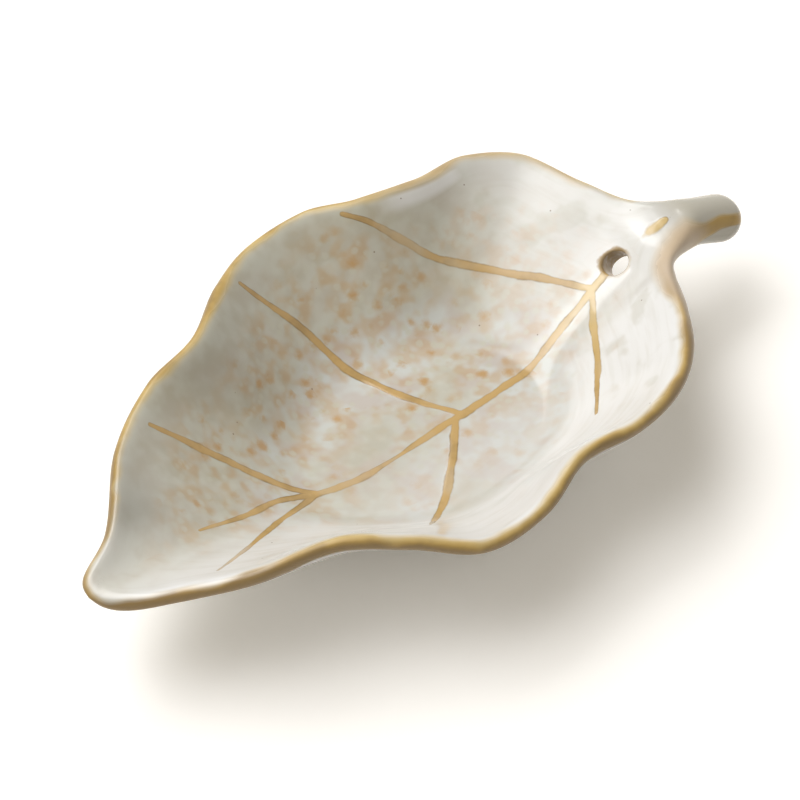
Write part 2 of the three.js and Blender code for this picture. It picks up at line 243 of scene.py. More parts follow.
class GlazeColours(bpy.types.PropertyGroup):
    """Colours of the glaze and the clay"""

    cream: colour("Cream", "Body of the glaze, thin over the clay", 0.428, 0.381, 0.268)
    pale: colour("Pale", "Pale cells where the glaze is thicker", 0.505, 0.49, 0.39)
    # White is partly thick glaze that ran down and partly painted light on the right wall and the crown, with
    # a painted reflection by the left rim
    white: colour("White", "Thick glaze that ran down the wall", 0.771, 0.766, 0.752)
    cloud: colour("Cloud", "Blue-grey clouds in the glaze", 0.55, 0.564, 0.54)
    blush: colour("Blush", "Pink-brown tinge in the pooled glaze", 0.47, 0.39, 0.338)
    mottle: colour("Mottle", "Tan mottles where the clay shows through", 0.461, 0.268, 0.0846)
    honey: colour("Honey", "Glaze that broke over the veins and the hole", 0.498, 0.32, 0.108)
    amber: colour("Amber", "Glaze that broke over the rim", 0.45, 0.282, 0.055)
    # Straw and brown over the rim are partly painted light on the lip's upper side and painted shade under it
    straw: colour("Straw", "Palest places of the broken glaze", 0.68, 0.53, 0.235)
    brown: colour("Brown", "Darkest places of the broken glaze", 0.22, 0.132, 0.03)
    peach: colour("Peach", "Pale glaze at the root of the stem and on the crown", 0.62, 0.498, 0.367)
    # Stone makes the whole stem a darker grey than the dish
    stone: colour("Stone", "Thin grey glaze on the stem", 0.432, 0.399, 0.315)
    # Grey is painted shade, laid over the left side of the tip
    grey: colour("Grey", "Clay body through thin glaze", 0.26, 0.25, 0.205)
    speck: colour("Speck", "Iron specks", 0.16, 0.10, 0.06)
    clay: colour("Clay", "Bare fired clay of the foot", 0.60, 0.43, 0.27)


class StageSizes(bpy.types.PropertyGroup):
    """Camera, light and floor of the studio"""

    distance: length("Distance", "Camera to the object", 600)
    heading: angle("Heading", "Direction of view, from +Y towards +X", 41.5)
    elevation: angle("Elevation", "Height of the camera over the horizon", 45)
    sensor: amount("Sensor", "Width of the camera's sensor in millimetres", 36)
    lens: amount("Lens", "Focal length of the camera", 167.4, "CAMERA")
    nearest: length("Nearest", "Nearest thing that the camera shows", 10)
    farthest: length("Farthest", "Farthest thing that the camera shows", 20000)
    aim: bpy.props.FloatVectorProperty(
        name="Aim",
        description="Point in the middle of the picture, from the middle of the leaf",
        default=(0.24 * MM, 6.5 * MM, 7.5 * MM),
        subtype="TRANSLATION",
        unit="LENGTH",
    )
    key: amount("Key", "Power of the large softbox above the leaf", 78, "POWER")
    back: amount("Back", "Power of the softbox behind the leaf", 9.5, "POWER")
    fill: amount("Fill", "Strength of the light from all round", 0.2)
    fill_tint: colour("Fill tint", "Colour of the light from all round", 1, 0.9, 0.73)
    lamp_distance: length("Lamp distance", "Softboxes to the object", 1600)
    key_width: length("Key width", "Width of the large softbox", 2300)
    back_width: length("Back width", "Width of the softbox behind the leaf", 1150)
    back_height: length("Back height", "Height of the softbox behind the leaf", 680)
    floor_size: length("Floor", "Width of the floor", 6000)
    floor_gap: length("Floor gap", "Foot ring to the floor, so that the faces do not coincide", 0.03)
    floor_white: colour("Floor white", "Matt white of the floor", 0.92, 0.91, 0.9)
    floor_glow: amount("Floor glow", "How much the floor is lifted where it is looked at", 0.2)
    glow_tint: colour("Glow tint", "Colour of that lift", 1, 0.94, 0.82)


class HolderSettings(bpy.types.PropertyGroup):
    """Everything that can be changed on the holder and its stage"""

    leaf: bpy.props.PointerProperty(type=LeafSizes, name="Leaf", description="Leaf dish")
    stem: bpy.props.PointerProperty(type=StemSizes, name="Stem", description="Stem")
    hole: bpy.props.PointerProperty(type=HoleSizes, name="Hole", description="Stick hole")
    vein: bpy.props.PointerProperty(type=VeinSizes, name="Veins", description="Raised veins")
    foot: bpy.props.PointerProperty(type=FootSizes, name="Foot", description="Foot ring")
    glaze: bpy.props.PointerProperty(type=GlazeColours, name="Glaze", description="Colours")
    stage: bpy.props.PointerProperty(type=StageSizes, name="Stage", description="Studio")


def smoothstep(value, low, high):
    """0 below low and 1 above high, with a smooth turn between them."""
    share = np.clip((value - low) / (high - low), 0, 1)
    return share * share * (3 - 2 * share)


def sines(run, number, waves):
    """A sum of sines of a run. Each wave is its height, its millimetres per radian and its phase, which is
    multiplied by a number so that no two trails are alike."""
    return sum(height * np.sin(run / (size * MM) + phase * number) for height, size, phase in waves)


def spline(points, share, closed=False):
    """A smooth curve through the points: a cubic over each span, whose slopes at both ends come from the
    neighbours and whose knots are the square roots of the distances between them. The first three columns
    give the distances, and share runs from 0 to 1."""
    points = np.asarray(points, float)
    if closed:
        padded = np.vstack([points[-1:], points, points[:2]])
    else:
        padded = np.vstack([2 * points[0] - points[1], points, 2 * points[-1] - points[-2]])
    spans = len(padded) - 3
    knots = np.sqrt(np.maximum(np.linalg.norm(np.diff(padded[:, :3], axis=0), axis=1), 1e-9))
    place = np.clip(share, 0, 1) * spans
    first = np.minimum(place.astype(int), spans - 1)
    part = (place - first)[..., None]
    before, start, stop, after = (padded[first + i] for i in range(4))
    knot_in, knot, knot_out = (knots[first + i][..., None] for i in range(3))
    leave = (start - before) / knot_in - (stop - before) / (knot_in + knot) + (stop - start) / knot
    reach = (stop - start) / knot - (after - start) / (knot + knot_out) + (after - stop) / knot_out
    leave, reach = leave * knot, reach * knot
    square = -3 * start + 3 * stop - 2 * leave - reach
    cube = 2 * start - 2 * stop + leave + reach
    return start + part * (leave + part * (square + part * cube))


def trail_distance(spots, trail):
    """Distance from each spot to a trail of straight steps, with the step and the share of it at the
    nearest place: the spot's shadow on each step is kept within the step, and the nearest of them is
    taken."""
    start, step = trail[:-1], np.diff(trail, axis=0)
    size = (step**2).sum(1)
    along = spots @ step.T - (start * step).sum(1)
    share = np.clip(along / size, 0, 1)
    square = (spots**2).sum(1)[:, None] - 2 * spots @ start.T + (start**2).sum(1)
    square += share * (share * size - 2 * along)
    nearest = square.argmin(1)
    row = np.arange(len(spots))
    return np.sqrt(np.maximum(square[row, nearest], 0)), nearest, share[row, nearest]


class LeafForm:
    """The clay of leaf and stem as a skin of two parameters: along runs from 0 at the tip to 1 at the end
    of the stem, and across from 1 at the left edge to -1 at the right."""

    LOOP_STEPS = 6000  # points of the curve along the rim
    DIRECTIONS = 2880  # directions in which the rim's reach and height are kept
    SOFTENING = math.radians(2.5)  # window that softens the rim's kinks
    EVENING = math.radians(14)  # window that evens out the rim's waves
    EVENING_PASSES = 3
    RIM_FADE = 2  # power with which the rim's waves fade towards the floor
    CAP_STEPS = 8  # control points of the stem's rounded end
    STEP = 5e-4  # step of a parameter for the slopes of the skin
    HEIGHT_STEP = 1e-6  # step in metres for the slopes of the dish
    TRAIL_STEPS = 140  # points along a vein
    STRAY_WAVES = ((0.7, 2.4, 2.1), (0.3, 1.1, 1.3))  # how the trailing hand strays
    PULSE_WAVES = ((0.09, 1.7, 1), (0.06, 0.8, 3))  # how the vein's width comes and goes
    STRAY_START = 3 * MM  # stretch at each end of a vein where the hand strays less
    RIDGE_TOP, RIDGE_FOOT = 0.35, 1.4  # half widths between which a vein falls to the dish
    SIGHT = 4 * MM  # how far from a vein its distance is worked out
    FAR_SHARE = 6.0  # distance to a vein, in half widths, beyond that
    UNDERSIDE_WAVES = 0.6  # share of the hands' waves on the underside
    FINE_STEPS = 8000  # steps in which the body's length is measured
    TIP_ROWS, TIP_STRETCH = 8, 1.2 * MM  # closer rows and their stretch at the tip
    CAP_ROWS = 20  # rows over the stem's rounded end
    LIP_WIDTH, LIP_SHARE = 1.7 * MM, 0.6  # closer columns at the rim: their stretch and its largest share

    def __init__(self, holder):
        self.leaf, self.stem, self.hole, self.vein = holder.leaf, holder.stem, holder.hole, holder.vein
        self.floor_middle = holder.foot.height + self.leaf.wall / 2
        self.lay_curves()
        self.lay_rim()
        self.trails = [self.lay_vein(number, points) for number, points in enumerate(VEINS)]

    def plan(self, along, across):
        """Point of the plan for shares of the leaf's reaches."""
        x = along * np.where(along < 0, self.leaf.tip_reach, self.leaf.neck_reach)
        y = across * np.where(across < 0, self.leaf.right_reach, self.leaf.left_reach)
        return np.stack([x, y], -1)

    def lay_curves(self):
        """Control points of the two edges and of the spine. The stem's lie on a curve of the second degree,
        which leaves the neck towards the knee and ends as if it came from there, and its end closes in a
        quarter circle. The spine's last column is the share of the thickness."""
        leaf, stem = self.leaf, self.stem
        rows = np.array(RIM_ROWS)
        tip = np.array([-leaf.tip_reach, leaf.tip_offset, leaf.wall / 2 + leaf.rim_rise * TIP_RISE])
        left, right = (
            np.column_stack([
                self.plan(rows[:, first], sign * rows[:, first + 1]),
                leaf.wall / 2 + rows[:, first + 2] * leaf.rim_rise,
            ])
            for first, sign in ((1, 1), (4, -1))
        )
        neck = (left[-1] + right[-1]) / 2
        bend = leaf.tip_offset * np.maximum(0, -rows[:, 0]) ** TIP_BEND
        bend[-1] = neck[1]
        middle_x = self.plan(rows[:, 0], 0 * rows[:, 0])[:, 0]
        spine = np.column_stack([middle_x, bend, 0 * bend, rows[:, 7]])

        knee = neck + [stem.knee, stem.sway / 2, -stem.knee_drop]
        end = neck + [stem.reach, stem.sway, -stem.drop]
        turn = np.linspace(0, math.pi / 2, self.CAP_STEPS + 1)
        round_from = 1 - stem.round_end / stem.reach
        share = np.append(stem.full / stem.reach, round_from + (1 - round_from) * np.sin(turn))
        bulk = np.append(1, np.cos(turn))
        bulk[-1] = 0
        share = share[:, None]
        axis = (1 - share) ** 2 * neck + 2 * share * (1 - share) * knee + share**2 * end
        half = np.outer(bulk, [0, stem.width / 2, 0])
        self.left = np.vstack([tip, left, axis + half])
        self.right = np.vstack([tip, right, axis - half])
        stem_spine = np.column_stack([axis[:, :2], 0 * bulk, bulk])
        self.spine = np.vstack([[tip[0], tip[1], 0, 0], spine, stem_spine])
        self.neck = neck
        self.rim_loop = np.vstack([tip, right, [leaf.neck_reach, neck[1], neck[2]], left[::-1]])
        self.hole_place = np.array([neck[0] - self.hole.setback, self.hole.offset])

    def lay_rim(self):
        """The rim's distance and height for each direction from the middle of the floor, first with its
        kinks softened and then evened out."""
        loop = spline(self.rim_loop, np.linspace(0, 1, self.LOOP_STEPS), closed=True)
        self.directions = np.linspace(-math.pi, math.pi, self.DIRECTIONS, endpoint=False)
        turn = np.arctan2(loop[:, 1], loop[:, 0])
        reach = np.interp(self.directions, turn, np.hypot(loop[:, 0], loop[:, 1]), period=2 * math.pi)
        height = np.interp(self.directions, turn, loop[:, 2], period=2 * math.pi)
        self.rim = [
            self.even(values, window)
            for window in (self.SOFTENING, self.EVENING)
            for values in (reach, height)
        ]

    def even(self, values, window):
        """Values round the circle, evened out by passes of a running mean."""
        half = round(window / (2 * math.pi) * self.DIRECTIONS)
        mean = np.ones(2 * half + 1) / (2 * half + 1)
        for _ in range(self.EVENING_PASSES):
            values = np.convolve(np.concatenate([values[-half:], values, values[:half]]), mean, "valid")
        return values

    def wall_height(self, out, width, top):
        """Height of a wall at a distance out from the floor's edge: its slope grows from nothing as a
        smoothstep over the fillet, whose integral is share^3 - share^4 / 2, and then stays."""
        fillet, middle = self.leaf.fillet, self.leaf.fillet_shift
        slope = top / (width - middle)
        share = (out - middle) / fillet + 0.5
        within = np.clip(share, 0, 1)
        return slope * fillet * (within**3 - within**4 / 2 + np.maximum(0, share - 1))

    def dish_height(self, x, y):
        """Height of the middle of the clay over the middle of the floor: the wall under the evened-out rim,
        plus the difference to the true rim, which fades with the square of the way in from the edge."""
        turn, distance = np.arctan2(y, x), np.hypot(x, y)
        leaf = self.leaf
        floor = 0.5 / np.hypot(np.cos(turn) / leaf.floor_length, np.sin(turn) / leaf.floor_width)
        edge, top, even_edge, even_top = (
            np.interp(turn, self.directions, values, period=2 * math.pi) for values in self.rim
        )
        even = self.wall_height(distance - floor, even_edge - floor, even_top)
        at_edge = self.wall_height(edge - floor, even_edge - floor, even_top)
        outward = np.maximum(0, (distance - floor) / (edge - floor))
        return even + (top - at_edge) * outward**self.RIM_FADE

    def middle(self, along, across):
        """Point in the middle of the clay: a place on the rib between spine and edge at the height of the
        dish, which turns into the straight rib of the stem along the neck."""
        left, right, spine = (spline(points, along) for points in (self.left, self.right, self.spine))
        edge = np.where(across[..., None] < 0, right, left)
        plan = spine[..., :2] + (edge[..., :2] - spine[..., :2]) * np.abs(across)[..., None]
        start, stop = self.neck[0] - self.stem.neck_length, self.neck[0] + self.stem.joint
        stem = smoothstep(spine[..., 0], start, stop)
        straight = right[..., 2] + (left[..., 2] - right[..., 2]) * (across + 1) / 2
        dish = self.dish_height(plan[..., 0], plan[..., 1])
        height = self.floor_middle + dish + (straight - dish) * stem
        return np.concatenate([plan, height[..., None]], -1)

    def half_thickness(self, x, y, side):
        """Half the thickness of the clay over (side 1) or under (side -1) its middle: half the wall,
        swelling to half the stem's height along the stem's root and falling off beside it like a bell
        curve."""
        stem = self.stem
        full = self.neck[0] + stem.full
        start = full - np.where(side > 0, stem.crown, stem.root)
        beside = np.maximum(0, np.abs(y - self.neck[1]) - stem.width / 2) / stem.flare
        swell = smoothstep(x, start, full) * np.exp(-(beside**2))
        return (self.leaf.wall + (stem.height - self.leaf.wall) * swell) / 2

    def upper_height(self, x, y):
        """Height of the upper face at a point of the plan: the middle of the clay plus half its thickness,
        which is taken square to the slope."""
        step = self.HEIGHT_STEP
        height = self.dish_height(x, y)
        slope_x = (self.dish_height(x + step, y) - height) / step
        slope_y = (self.dish_height(x, y + step) - height) / step
        lift = self.half_thickness(x, y, np.ones_like(x)) * np.sqrt(1 + slope_x**2 + slope_y**2)
        return self.floor_middle + height + lift

    def lay_vein(self, number, points):
        """A vein's trail over the upper face: a spline through its points, shifted sideways by sines as a
        trailing hand strays, with half its width in the last column."""
        points = np.array(points)
        control = np.column_stack([self.plan(points[:, 0], points[:, 1]), 0 * points[:, 0], points[:, 2]])
        trail = spline(control, np.linspace(0, 1, self.TRAIL_STEPS))
        step = np.gradient(trail[:, :2], axis=0)
        pace = np.hypot(step[:, 0], step[:, 1])
        run = np.cumsum(pace)
        sideways = np.column_stack([-step[:, 1], step[:, 0]]) / pace[:, None]
        shy = np.minimum(1, np.minimum(run, run[-1] - run) / self.STRAY_START)
        stray = sines(run, number, self.STRAY_WAVES) * shy * self.vein.wobble * np.minimum(1, trail[:, 3])
        trail[:, :2] += sideways * stray[:, None]
        trail[:, 2] = self.upper_height(trail[:, 0], trail[:, 1])
        trail[:, 3] *= (1 + sines(run, number, self.PULSE_WAVES)) * self.vein.width / 2
        return trail

    def veins(self, spots):
        """For each spot the distance to the nearest vein, in half widths, and the height of the ridge
        there: a bell that is highest over the trail and ends a little outside the vein's width."""
        nearest = np.full(len(spots), self.FAR_SHARE)
        ridge = np.zeros(len(spots))
        for trail in self.trails:
            low, high = trail[:, :3].min(0) - self.SIGHT, trail[:, :3].max(0) + self.SIGHT
            close = np.nonzero(((spots > low) & (spots < high)).all(1))[0]
            distance, step, part = trail_distance(spots[close], trail[:, :3])
            half = trail[step, 3] + (trail[step + 1, 3] - trail[step, 3]) * part
            share = distance / half
            full = np.minimum(1, 2 * half / self.vein.width)
            height = self.vein.height * full * (1 - smoothstep(share, self.RIDGE_TOP, self.RIDGE_FOOT))
            nearest[close] = np.minimum(nearest[close], share)
            ridge[close] = np.maximum(ridge[close], height)
        return nearest, ridge

    def hand_waves(self, x, y):
        """Unevenness of hand-pressed clay: a sum of long low sines in unlike directions."""
        waves = np.array(HAND_WAVES)
        size, turn = waves[:, 0] * MM, np.radians(waves[:, 1])
        run = (x[..., None] * np.cos(turn) + y[..., None] * np.sin(turn)) / size + waves[:, 2]
        return (waves[:, 3] * MM * np.sin(2 * math.pi * run)).sum(-1)

    def skin(self, along, across, side):
        """Point of the glazed skin and the nearest vein's distance: the middle of the clay moved square to
        itself by half the thickness, which closes at the edge as a superellipse, then by the waves and the
        veins."""
        middle = self.middle(along, across)
        lengthwise = self.middle(along + np.where(along < 0.5, self.STEP, -self.STEP), across) - middle
        sideways = self.middle(along, across + np.where(across > 0, -self.STEP, self.STEP)) - middle
        normal = np.cross(lengthwise, sideways)
        normal /= np.linalg.norm(normal, axis=-1, keepdims=True)
        normal *= np.where(normal[..., 2:] < 0, -1, 1)
        x, y = middle[..., 0], middle[..., 1]
        half = self.half_thickness(x, y, side)
        rib = np.abs(spline(self.left, along)[..., 1] - spline(self.right, along)[..., 1]) / 2
        bulk = np.maximum(0, spline(self.spine, along)[..., 3])
        square = np.maximum(2, 2 * rib / half)
        closing = np.sqrt(np.maximum(0, 1 - np.abs(across) ** square))
        waves = self.hand_waves(x, y) * np.where(side > 0, 1, self.UNDERSIDE_WAVES)
        offset = side * half * bulk * closing + waves * np.minimum(1, bulk)
        point = middle + normal * offset[..., None]
        share, ridge = (values.reshape(x.shape) for values in self.veins(point.reshape(-1, 3)))
        upper = (side > 0) * np.sqrt(closing)
        point = point + normal * (ridge * upper)[..., None]
        return point, np.where(side > 0, share, self.FAR_SHARE)

    def rows(self, count):
        """Places along the body at equal steps of the mean length of spine and edges, with more of them at
        the tip and over the rounded end. Also gives the number of the row at the joint of leaf and stem."""
        fine = np.linspace(0, 1, self.FINE_STEPS + 1)
        run = 0
        for points in (self.left, self.right, self.spine):
            curve = spline(points, fine)[:, :3]
            run = run + np.append(0, np.cumsum(np.linalg.norm(np.diff(curve, axis=0), axis=1))) / 3
        joint = np.interp(self.neck[0] + self.stem.joint, spline(self.spine, fine)[:, 0], run)
        at_tip = self.TIP_STRETCH * (np.arange(1, self.TIP_ROWS) / self.TIP_ROWS) ** 2
        blade = np.linspace(self.TIP_STRETCH, joint, count)
        end, round_end = run[-1], self.stem.round_end
        stem = np.linspace(joint, end - round_end, round((end - joint) / (blade[1] - blade[0])))[1:]
        cap = end - round_end * (1 - np.sin(np.linspace(0, math.pi / 2, self.CAP_ROWS + 2)[1:-1]))
        places = np.interp(np.concatenate([at_tip, blade, stem, cap]), run, fine)
        return places, len(at_tip) + count - 1

    def columns(self, along, inner, lip):
        """Places across the body for each row, from the left edge to the right: even in the middle, and by
        equal angles of a quarter circle over the rounded lip."""
        left, right, spine = (spline(points, along)[:, :2] for points in (self.left, self.right, self.spine))
        left_lip, right_lip = (
            np.minimum(self.LIP_SHARE, self.LIP_WIDTH / np.linalg.norm(edge - spine, axis=1))[:, None]
            for edge in (left, right)
        )
        quarter = 1 - np.cos(np.linspace(0, math.pi / 2, lip + 1)[:-1])
        middle = np.linspace(1, -1, inner)
        even = middle * (1 - np.where(middle > 0, left_lip, right_lip))
        return np.hstack([1 - left_lip * quarter, even, right_lip * quarter[::-1] - 1])


def ring_faces(first, second):
    """Quads between two rows of vertex numbers that close round."""
    return np.stack([first, np.roll(first, -1, -1), np.roll(second, -1, -1), second], -1).reshape(-1, 4)


def zip_faces(first, first_turn, second, second_turn):
    """Triangles between two closed loops of unlike numbers, taken in the order of their turns round the
    axis: each step goes on to the loop whose next vertex comes first."""
    next_first = np.append(first_turn[1:], first_turn[0] + 2 * math.pi)
    next_second = np.append(second_turn[1:], second_turn[0] + 2 * math.pi)
    order = np.argsort(np.concatenate([next_first, next_second]), kind="stable")
    is_first = order < len(first)
    at_first = np.cumsum(is_first) - is_first
    at_second = np.cumsum(~is_first) - ~is_first
    here, there = first[at_first % len(first)], second[at_second % len(second)]
    onward = np.where(is_first, first[(at_first + 1) % len(first)], second[(at_second + 1) % len(second)])
    return np.stack([here, onward, there], -1)


def fan(middle, loop):
    """Triangles between a vertex and a closed loop."""
    return np.stack([loop, np.roll(loop, -1), np.full(len(loop), middle)], -1)


def make_piece(name, points, quads, triangles, values, flat=0, seam=None):
    """A mesh object from whole arrays. The last flat triangles are shaded flat, and each of values is
    stored as an attribute of the vertices. A seam is the numbers of vertices that meet another piece and
    their normals. The faces are turned over where the quads' volume, a sum of triple products, comes out
    negative."""
    used, renamed = np.unique(np.concatenate([quads.ravel(), triangles.ravel()]), return_inverse=True)
    points = points[used]
    quads, triangles = renamed[: quads.size].reshape(-1, 4), renamed[quads.size :].reshape(-1, 3)
    volume = 0
    corners = points[quads]
    for a, b, c in ((0, 1, 2), (0, 2, 3)):
        volume += (corners[:, a] * np.cross(corners[:, b], corners[:, c])).sum()
    if volume < 0:
        quads, triangles = quads[:, ::-1], triangles[:, ::-1]
    mesh = bpy.data.meshes.new(name)
    mesh.vertices.add(len(points))
    mesh.vertices.foreach_set("co", points.astype(np.float32).ravel())
    loops = np.concatenate([quads.ravel(), triangles.ravel()]).astype(np.int32)
    mesh.loops.add(len(loops))
    mesh.loops.foreach_set("vertex_index", loops)
    starts = np.append(np.arange(len(quads)) * 4, quads.size + np.arange(len(triangles)) * 3)
    mesh.polygons.add(len(starts))
    mesh.polygons.foreach_set("loop_start", starts.astype(np.int32))
    smooth = np.ones(len(starts), bool)
    smooth[len(starts) - flat :] = False
    mesh.polygons.foreach_set("use_smooth", smooth)
    mesh.update(calc_edges=True)
    if mesh.validate():
        raise RuntimeError(f"{name} has faces that can't be")
    for label, value in values.items():
        attribute = mesh.attributes.new(label, "FLOAT", "POINT")
        attribute.data.foreach_set("value", value[used].astype(np.float32))
    if seam:
        normals = np.empty(3 * len(loops), np.float32)
        mesh.corner_normals.foreach_get("vector", normals)
        normals = normals.reshape(-1, 3)
        shared_normal = np.zeros((used.max() + 1, 3))
        shared_normal[seam[0]] = seam[1]
        shared_normal = shared_normal[used][loops]
        on_seam = shared_normal.any(1)
        on_seam[len(loops) - 3 * flat :] = False
        normals[on_seam] = shared_normal[on_seam]
        mesh.normals_split_custom_set(normals)
    piece = bpy.data.objects.new(name, mesh)
    bpy.context.scene.collection.objects.link(piece)
    return piece


class Body:
    """The grid of the whole glazed body, of which leaf and stem are stretches."""

    LEAF_ROWS = 360
    UPPER_INNER, UPPER_LIP = 188, 11  # columns of the upper side: in the middle and over each lip
    LOWER_INNER, LOWER_LIP = 28, 7  # columns of the underside, likewise
    RIM_WINDOW = 48  # rows to each side in which the nearest place of the rim is sought
    HOLE_RINGS = 5  # rings of faces between the grid and the hole's lip
    HOLE_ROOM = 1.0 * MM  # least width of these rings together
    LIP_STEPS = 4  # rings of faces over the hole's lip
    SEARCH_STEPS = 8  # rounds of the search for a circle on the skin
    ALONG_STEP, ACROSS_STEP = 2e-4, 2e-3  # steps of the two parameters for its slopes
    FAR = 99.0  # millimetres that stand for far away

    def __init__(self, holder):
        self.form = form = LeafForm(holder)
        self.along, self.joint = form.rows(self.LEAF_ROWS)
        upper = form.columns(self.along, self.UPPER_INNER, self.UPPER_LIP)
        lower = form.columns(self.along, self.LOWER_INNER, self.LOWER_LIP)[:, -2:0:-1]
        self.upper_count = upper.shape[1]
        self.across = np.hstack([upper, lower])
        self.side = np.ones(self.across.shape)
        self.side[:, self.upper_count :] = -1
        along = np.broadcast_to(self.along[:, None], self.across.shape)
        self.points, self.vein = form.skin(along, self.across, self.side)
        self.rim = self.rim_distance() * self.side
        self.number = np.arange(self.across.size).reshape(self.across.shape)

    def rim_distance(self):
        """Distance of each vertex to the rim in millimetres: the least distance to the rim vertices of its
        own side within a window of rows."""
        rows = len(self.points)
        best = np.full(self.across.shape, np.inf)
        left, right = self.points[:, 0], self.points[:, self.upper_count - 1]
        for shift in range(-self.RIM_WINDOW, self.RIM_WINDOW + 1):
            there = np.clip(np.arange(rows) + shift, 0, rows - 1)
            edge = np.where(self.across[..., None] > 0, left[there][:, None], right[there][:, None])
            best = np.minimum(best, np.linalg.norm(self.points - edge, axis=-1))
        return best / MM

    def lay_hole(self):
        """The middle of the hole's mouth, its axis, which leans over the dish, and the two directions
        square to the axis."""
        tilt = self.form.hole.tilt
        x, y = self.form.hole_place
        self.hole_middle = np.array([x, y, self.form.upper_height(np.array([x]), np.array([y]))[0]])
        self.hole_axis = np.array([-math.sin(tilt), 0, math.cos(tilt)])
        self.hole_plane = np.array([[math.cos(tilt), 0, math.sin(tilt)], [0, 1, 0]])

    def seen(self, points):
        """Places of points as they are seen along the hole's axis, from the axis."""
        return (points - self.hole_middle) @ self.hole_plane.T

    def hole_loop(self, side, nearest, radius, turn):
        """Places along and across where the skin lies at a radius and turns round the hole's axis: a search
        from the nearest vertex, which in each round goes on by what is missed over the slope, with slopes
        from small steps."""
        face = np.full(turn.shape, side)
        along, across = (np.full(turn.shape, start) for start in nearest)
        goal = radius * np.stack([np.cos(turn), np.sin(turn)], -1)

        def place(u, v):
            """Place of the skin as it is seen along the axis."""
            return self.seen(self.form.skin(u, v, face)[0])

        for _ in range(self.SEARCH_STEPS):
            here = place(along, across)
            by_along = (place(along + self.ALONG_STEP, across) - here) / self.ALONG_STEP
            by_across = (place(along, across + self.ACROSS_STEP) - here) / self.ACROSS_STEP
            miss = goal - here
            area = by_along[:, 0] * by_across[:, 1] - by_along[:, 1] * by_across[:, 0]
            along = along + (miss[:, 0] * by_across[:, 1] - miss[:, 1] * by_across[:, 0]) / area
            across = across + (by_along[:, 0] * miss[:, 1] - by_along[:, 1] * miss[:, 0]) / area
        return along, across

    def block_loop(self, inside):
        """Rows, columns and turns round the hole's axis of the vertices round the block of the grid that
        holds the inside ones, in the order of their turns, and the block itself."""
        rows, columns = np.nonzero(inside.any(1))[0], np.nonzero(inside.any(0))[0]
        top, bottom = rows[0] - 1, rows[-1] + 1
        start, stop = columns[0] - 1, columns[-1] + 1
        row = np.concatenate([
            np.full(stop - start, top),
            np.arange(top, bottom),
            np.full(stop - start, bottom),
            np.arange(bottom, top, -1),
        ])
        column = np.concatenate([
            np.arange(start, stop),
            np.full(bottom - top, stop),
            np.arange(stop, start, -1),
            np.full(bottom - top, start),
        ])
        place = self.seen(self.points[row, column])
        turn = np.arctan2(place[:, 1], place[:, 0])
        if np.unwrap(turn)[-1] < turn[0]:
            row, column, turn = row[::-1], column[::-1], turn[::-1]
        row, column, turn = (np.roll(part, -turn.argmin()) for part in (row, column, turn))
        return row, column, turn, (slice(top, bottom), slice(start, stop))

    def pierce(self, kept):
        """Cuts the stick hole and strikes the quads that go from kept: a block of the grid on each face
        gives way to rings that run from the block's edge to a circle round the hole's axis, over a rounded
        lip and down the hole's wall. Gives all points and their values, the rings' quads and the wall's
        triangles."""
        form, hole = self.form, self.form.hole
        self.lay_hole()
        radius = hole.diameter / 2
        away = np.linalg.norm(self.seen(self.points), axis=-1)
        points = [self.points.reshape(-1, 3)]
        values = {
            "vein": [self.vein.ravel()],
            "hole": [(away.ravel() - radius) / MM],
            "rim": [self.rim.ravel()],
        }
        quads, walls = [], []
        count = self.number.size
        for side in (1, -1):
            mine = np.where(self.side == side, away, np.inf)
            spot = np.unravel_index(mine.argmin(), mine.shape)
            nearest = self.along[spot[0]], self.across[spot]
            row, column, turn, block = self.block_loop(mine < radius + hole.lip + self.HOLE_ROOM)
            kept[block] = False
            grid_places = self.along[row], self.across[row, column]
            lip_places = self.hole_loop(side, nearest, radius + hole.lip, turn)
            edge_places = self.hole_loop(side, nearest, radius, turn)
            share = (np.arange(1, self.HOLE_RINGS + 1) / self.HOLE_RINGS)[:, None]
            along, across = (start + (stop - start) * share for start, stop in zip(grid_places, lip_places))
            rings, ring_vein = form.skin(along, across, np.full(along.shape, side))
            corner, corner_vein = form.skin(*edge_places, np.full(turn.shape, side))
            deep = corner - side * self.hole_axis * hole.lip
            bend = (np.arange(1, self.LIP_STEPS + 1) / self.LIP_STEPS)[:, None, None]
            lip = (1 - bend) ** 2 * rings[-1] + 2 * bend * (1 - bend) * corner + bend**2 * deep
            loops = np.concatenate([rings, lip])
            ring_away = np.linalg.norm(self.seen(rings), axis=-1) - radius
            depth = np.linspace(hole.lip, -hole.lip, self.LIP_STEPS + 1)[1:]
            lip_away = np.repeat(depth[:, None], len(turn), 1)
            rim = np.full(loops.shape[:2], side * self.FAR)
            rim[-1] = self.FAR
            points.append(loops.reshape(-1, 3))
            values["vein"] += [ring_vein.ravel(), np.tile(corner_vein, self.LIP_STEPS)]
            values["hole"] += [ring_away.ravel() / MM, lip_away.ravel() / MM]
            values["rim"].append(rim.ravel())
            numbers = np.vstack([self.number[row, column], count + np.arange(rim.size).reshape(rim.shape)])
            count += rim.size
            quads.append(ring_faces(numbers[:-1], numbers[1:])[:, ::side])
            walls += [numbers[-1], turn]
        values = {label: np.concatenate(parts) for label, parts in values.items()}
        return np.concatenate(points), values, np.concatenate(quads), zip_faces(*walls)

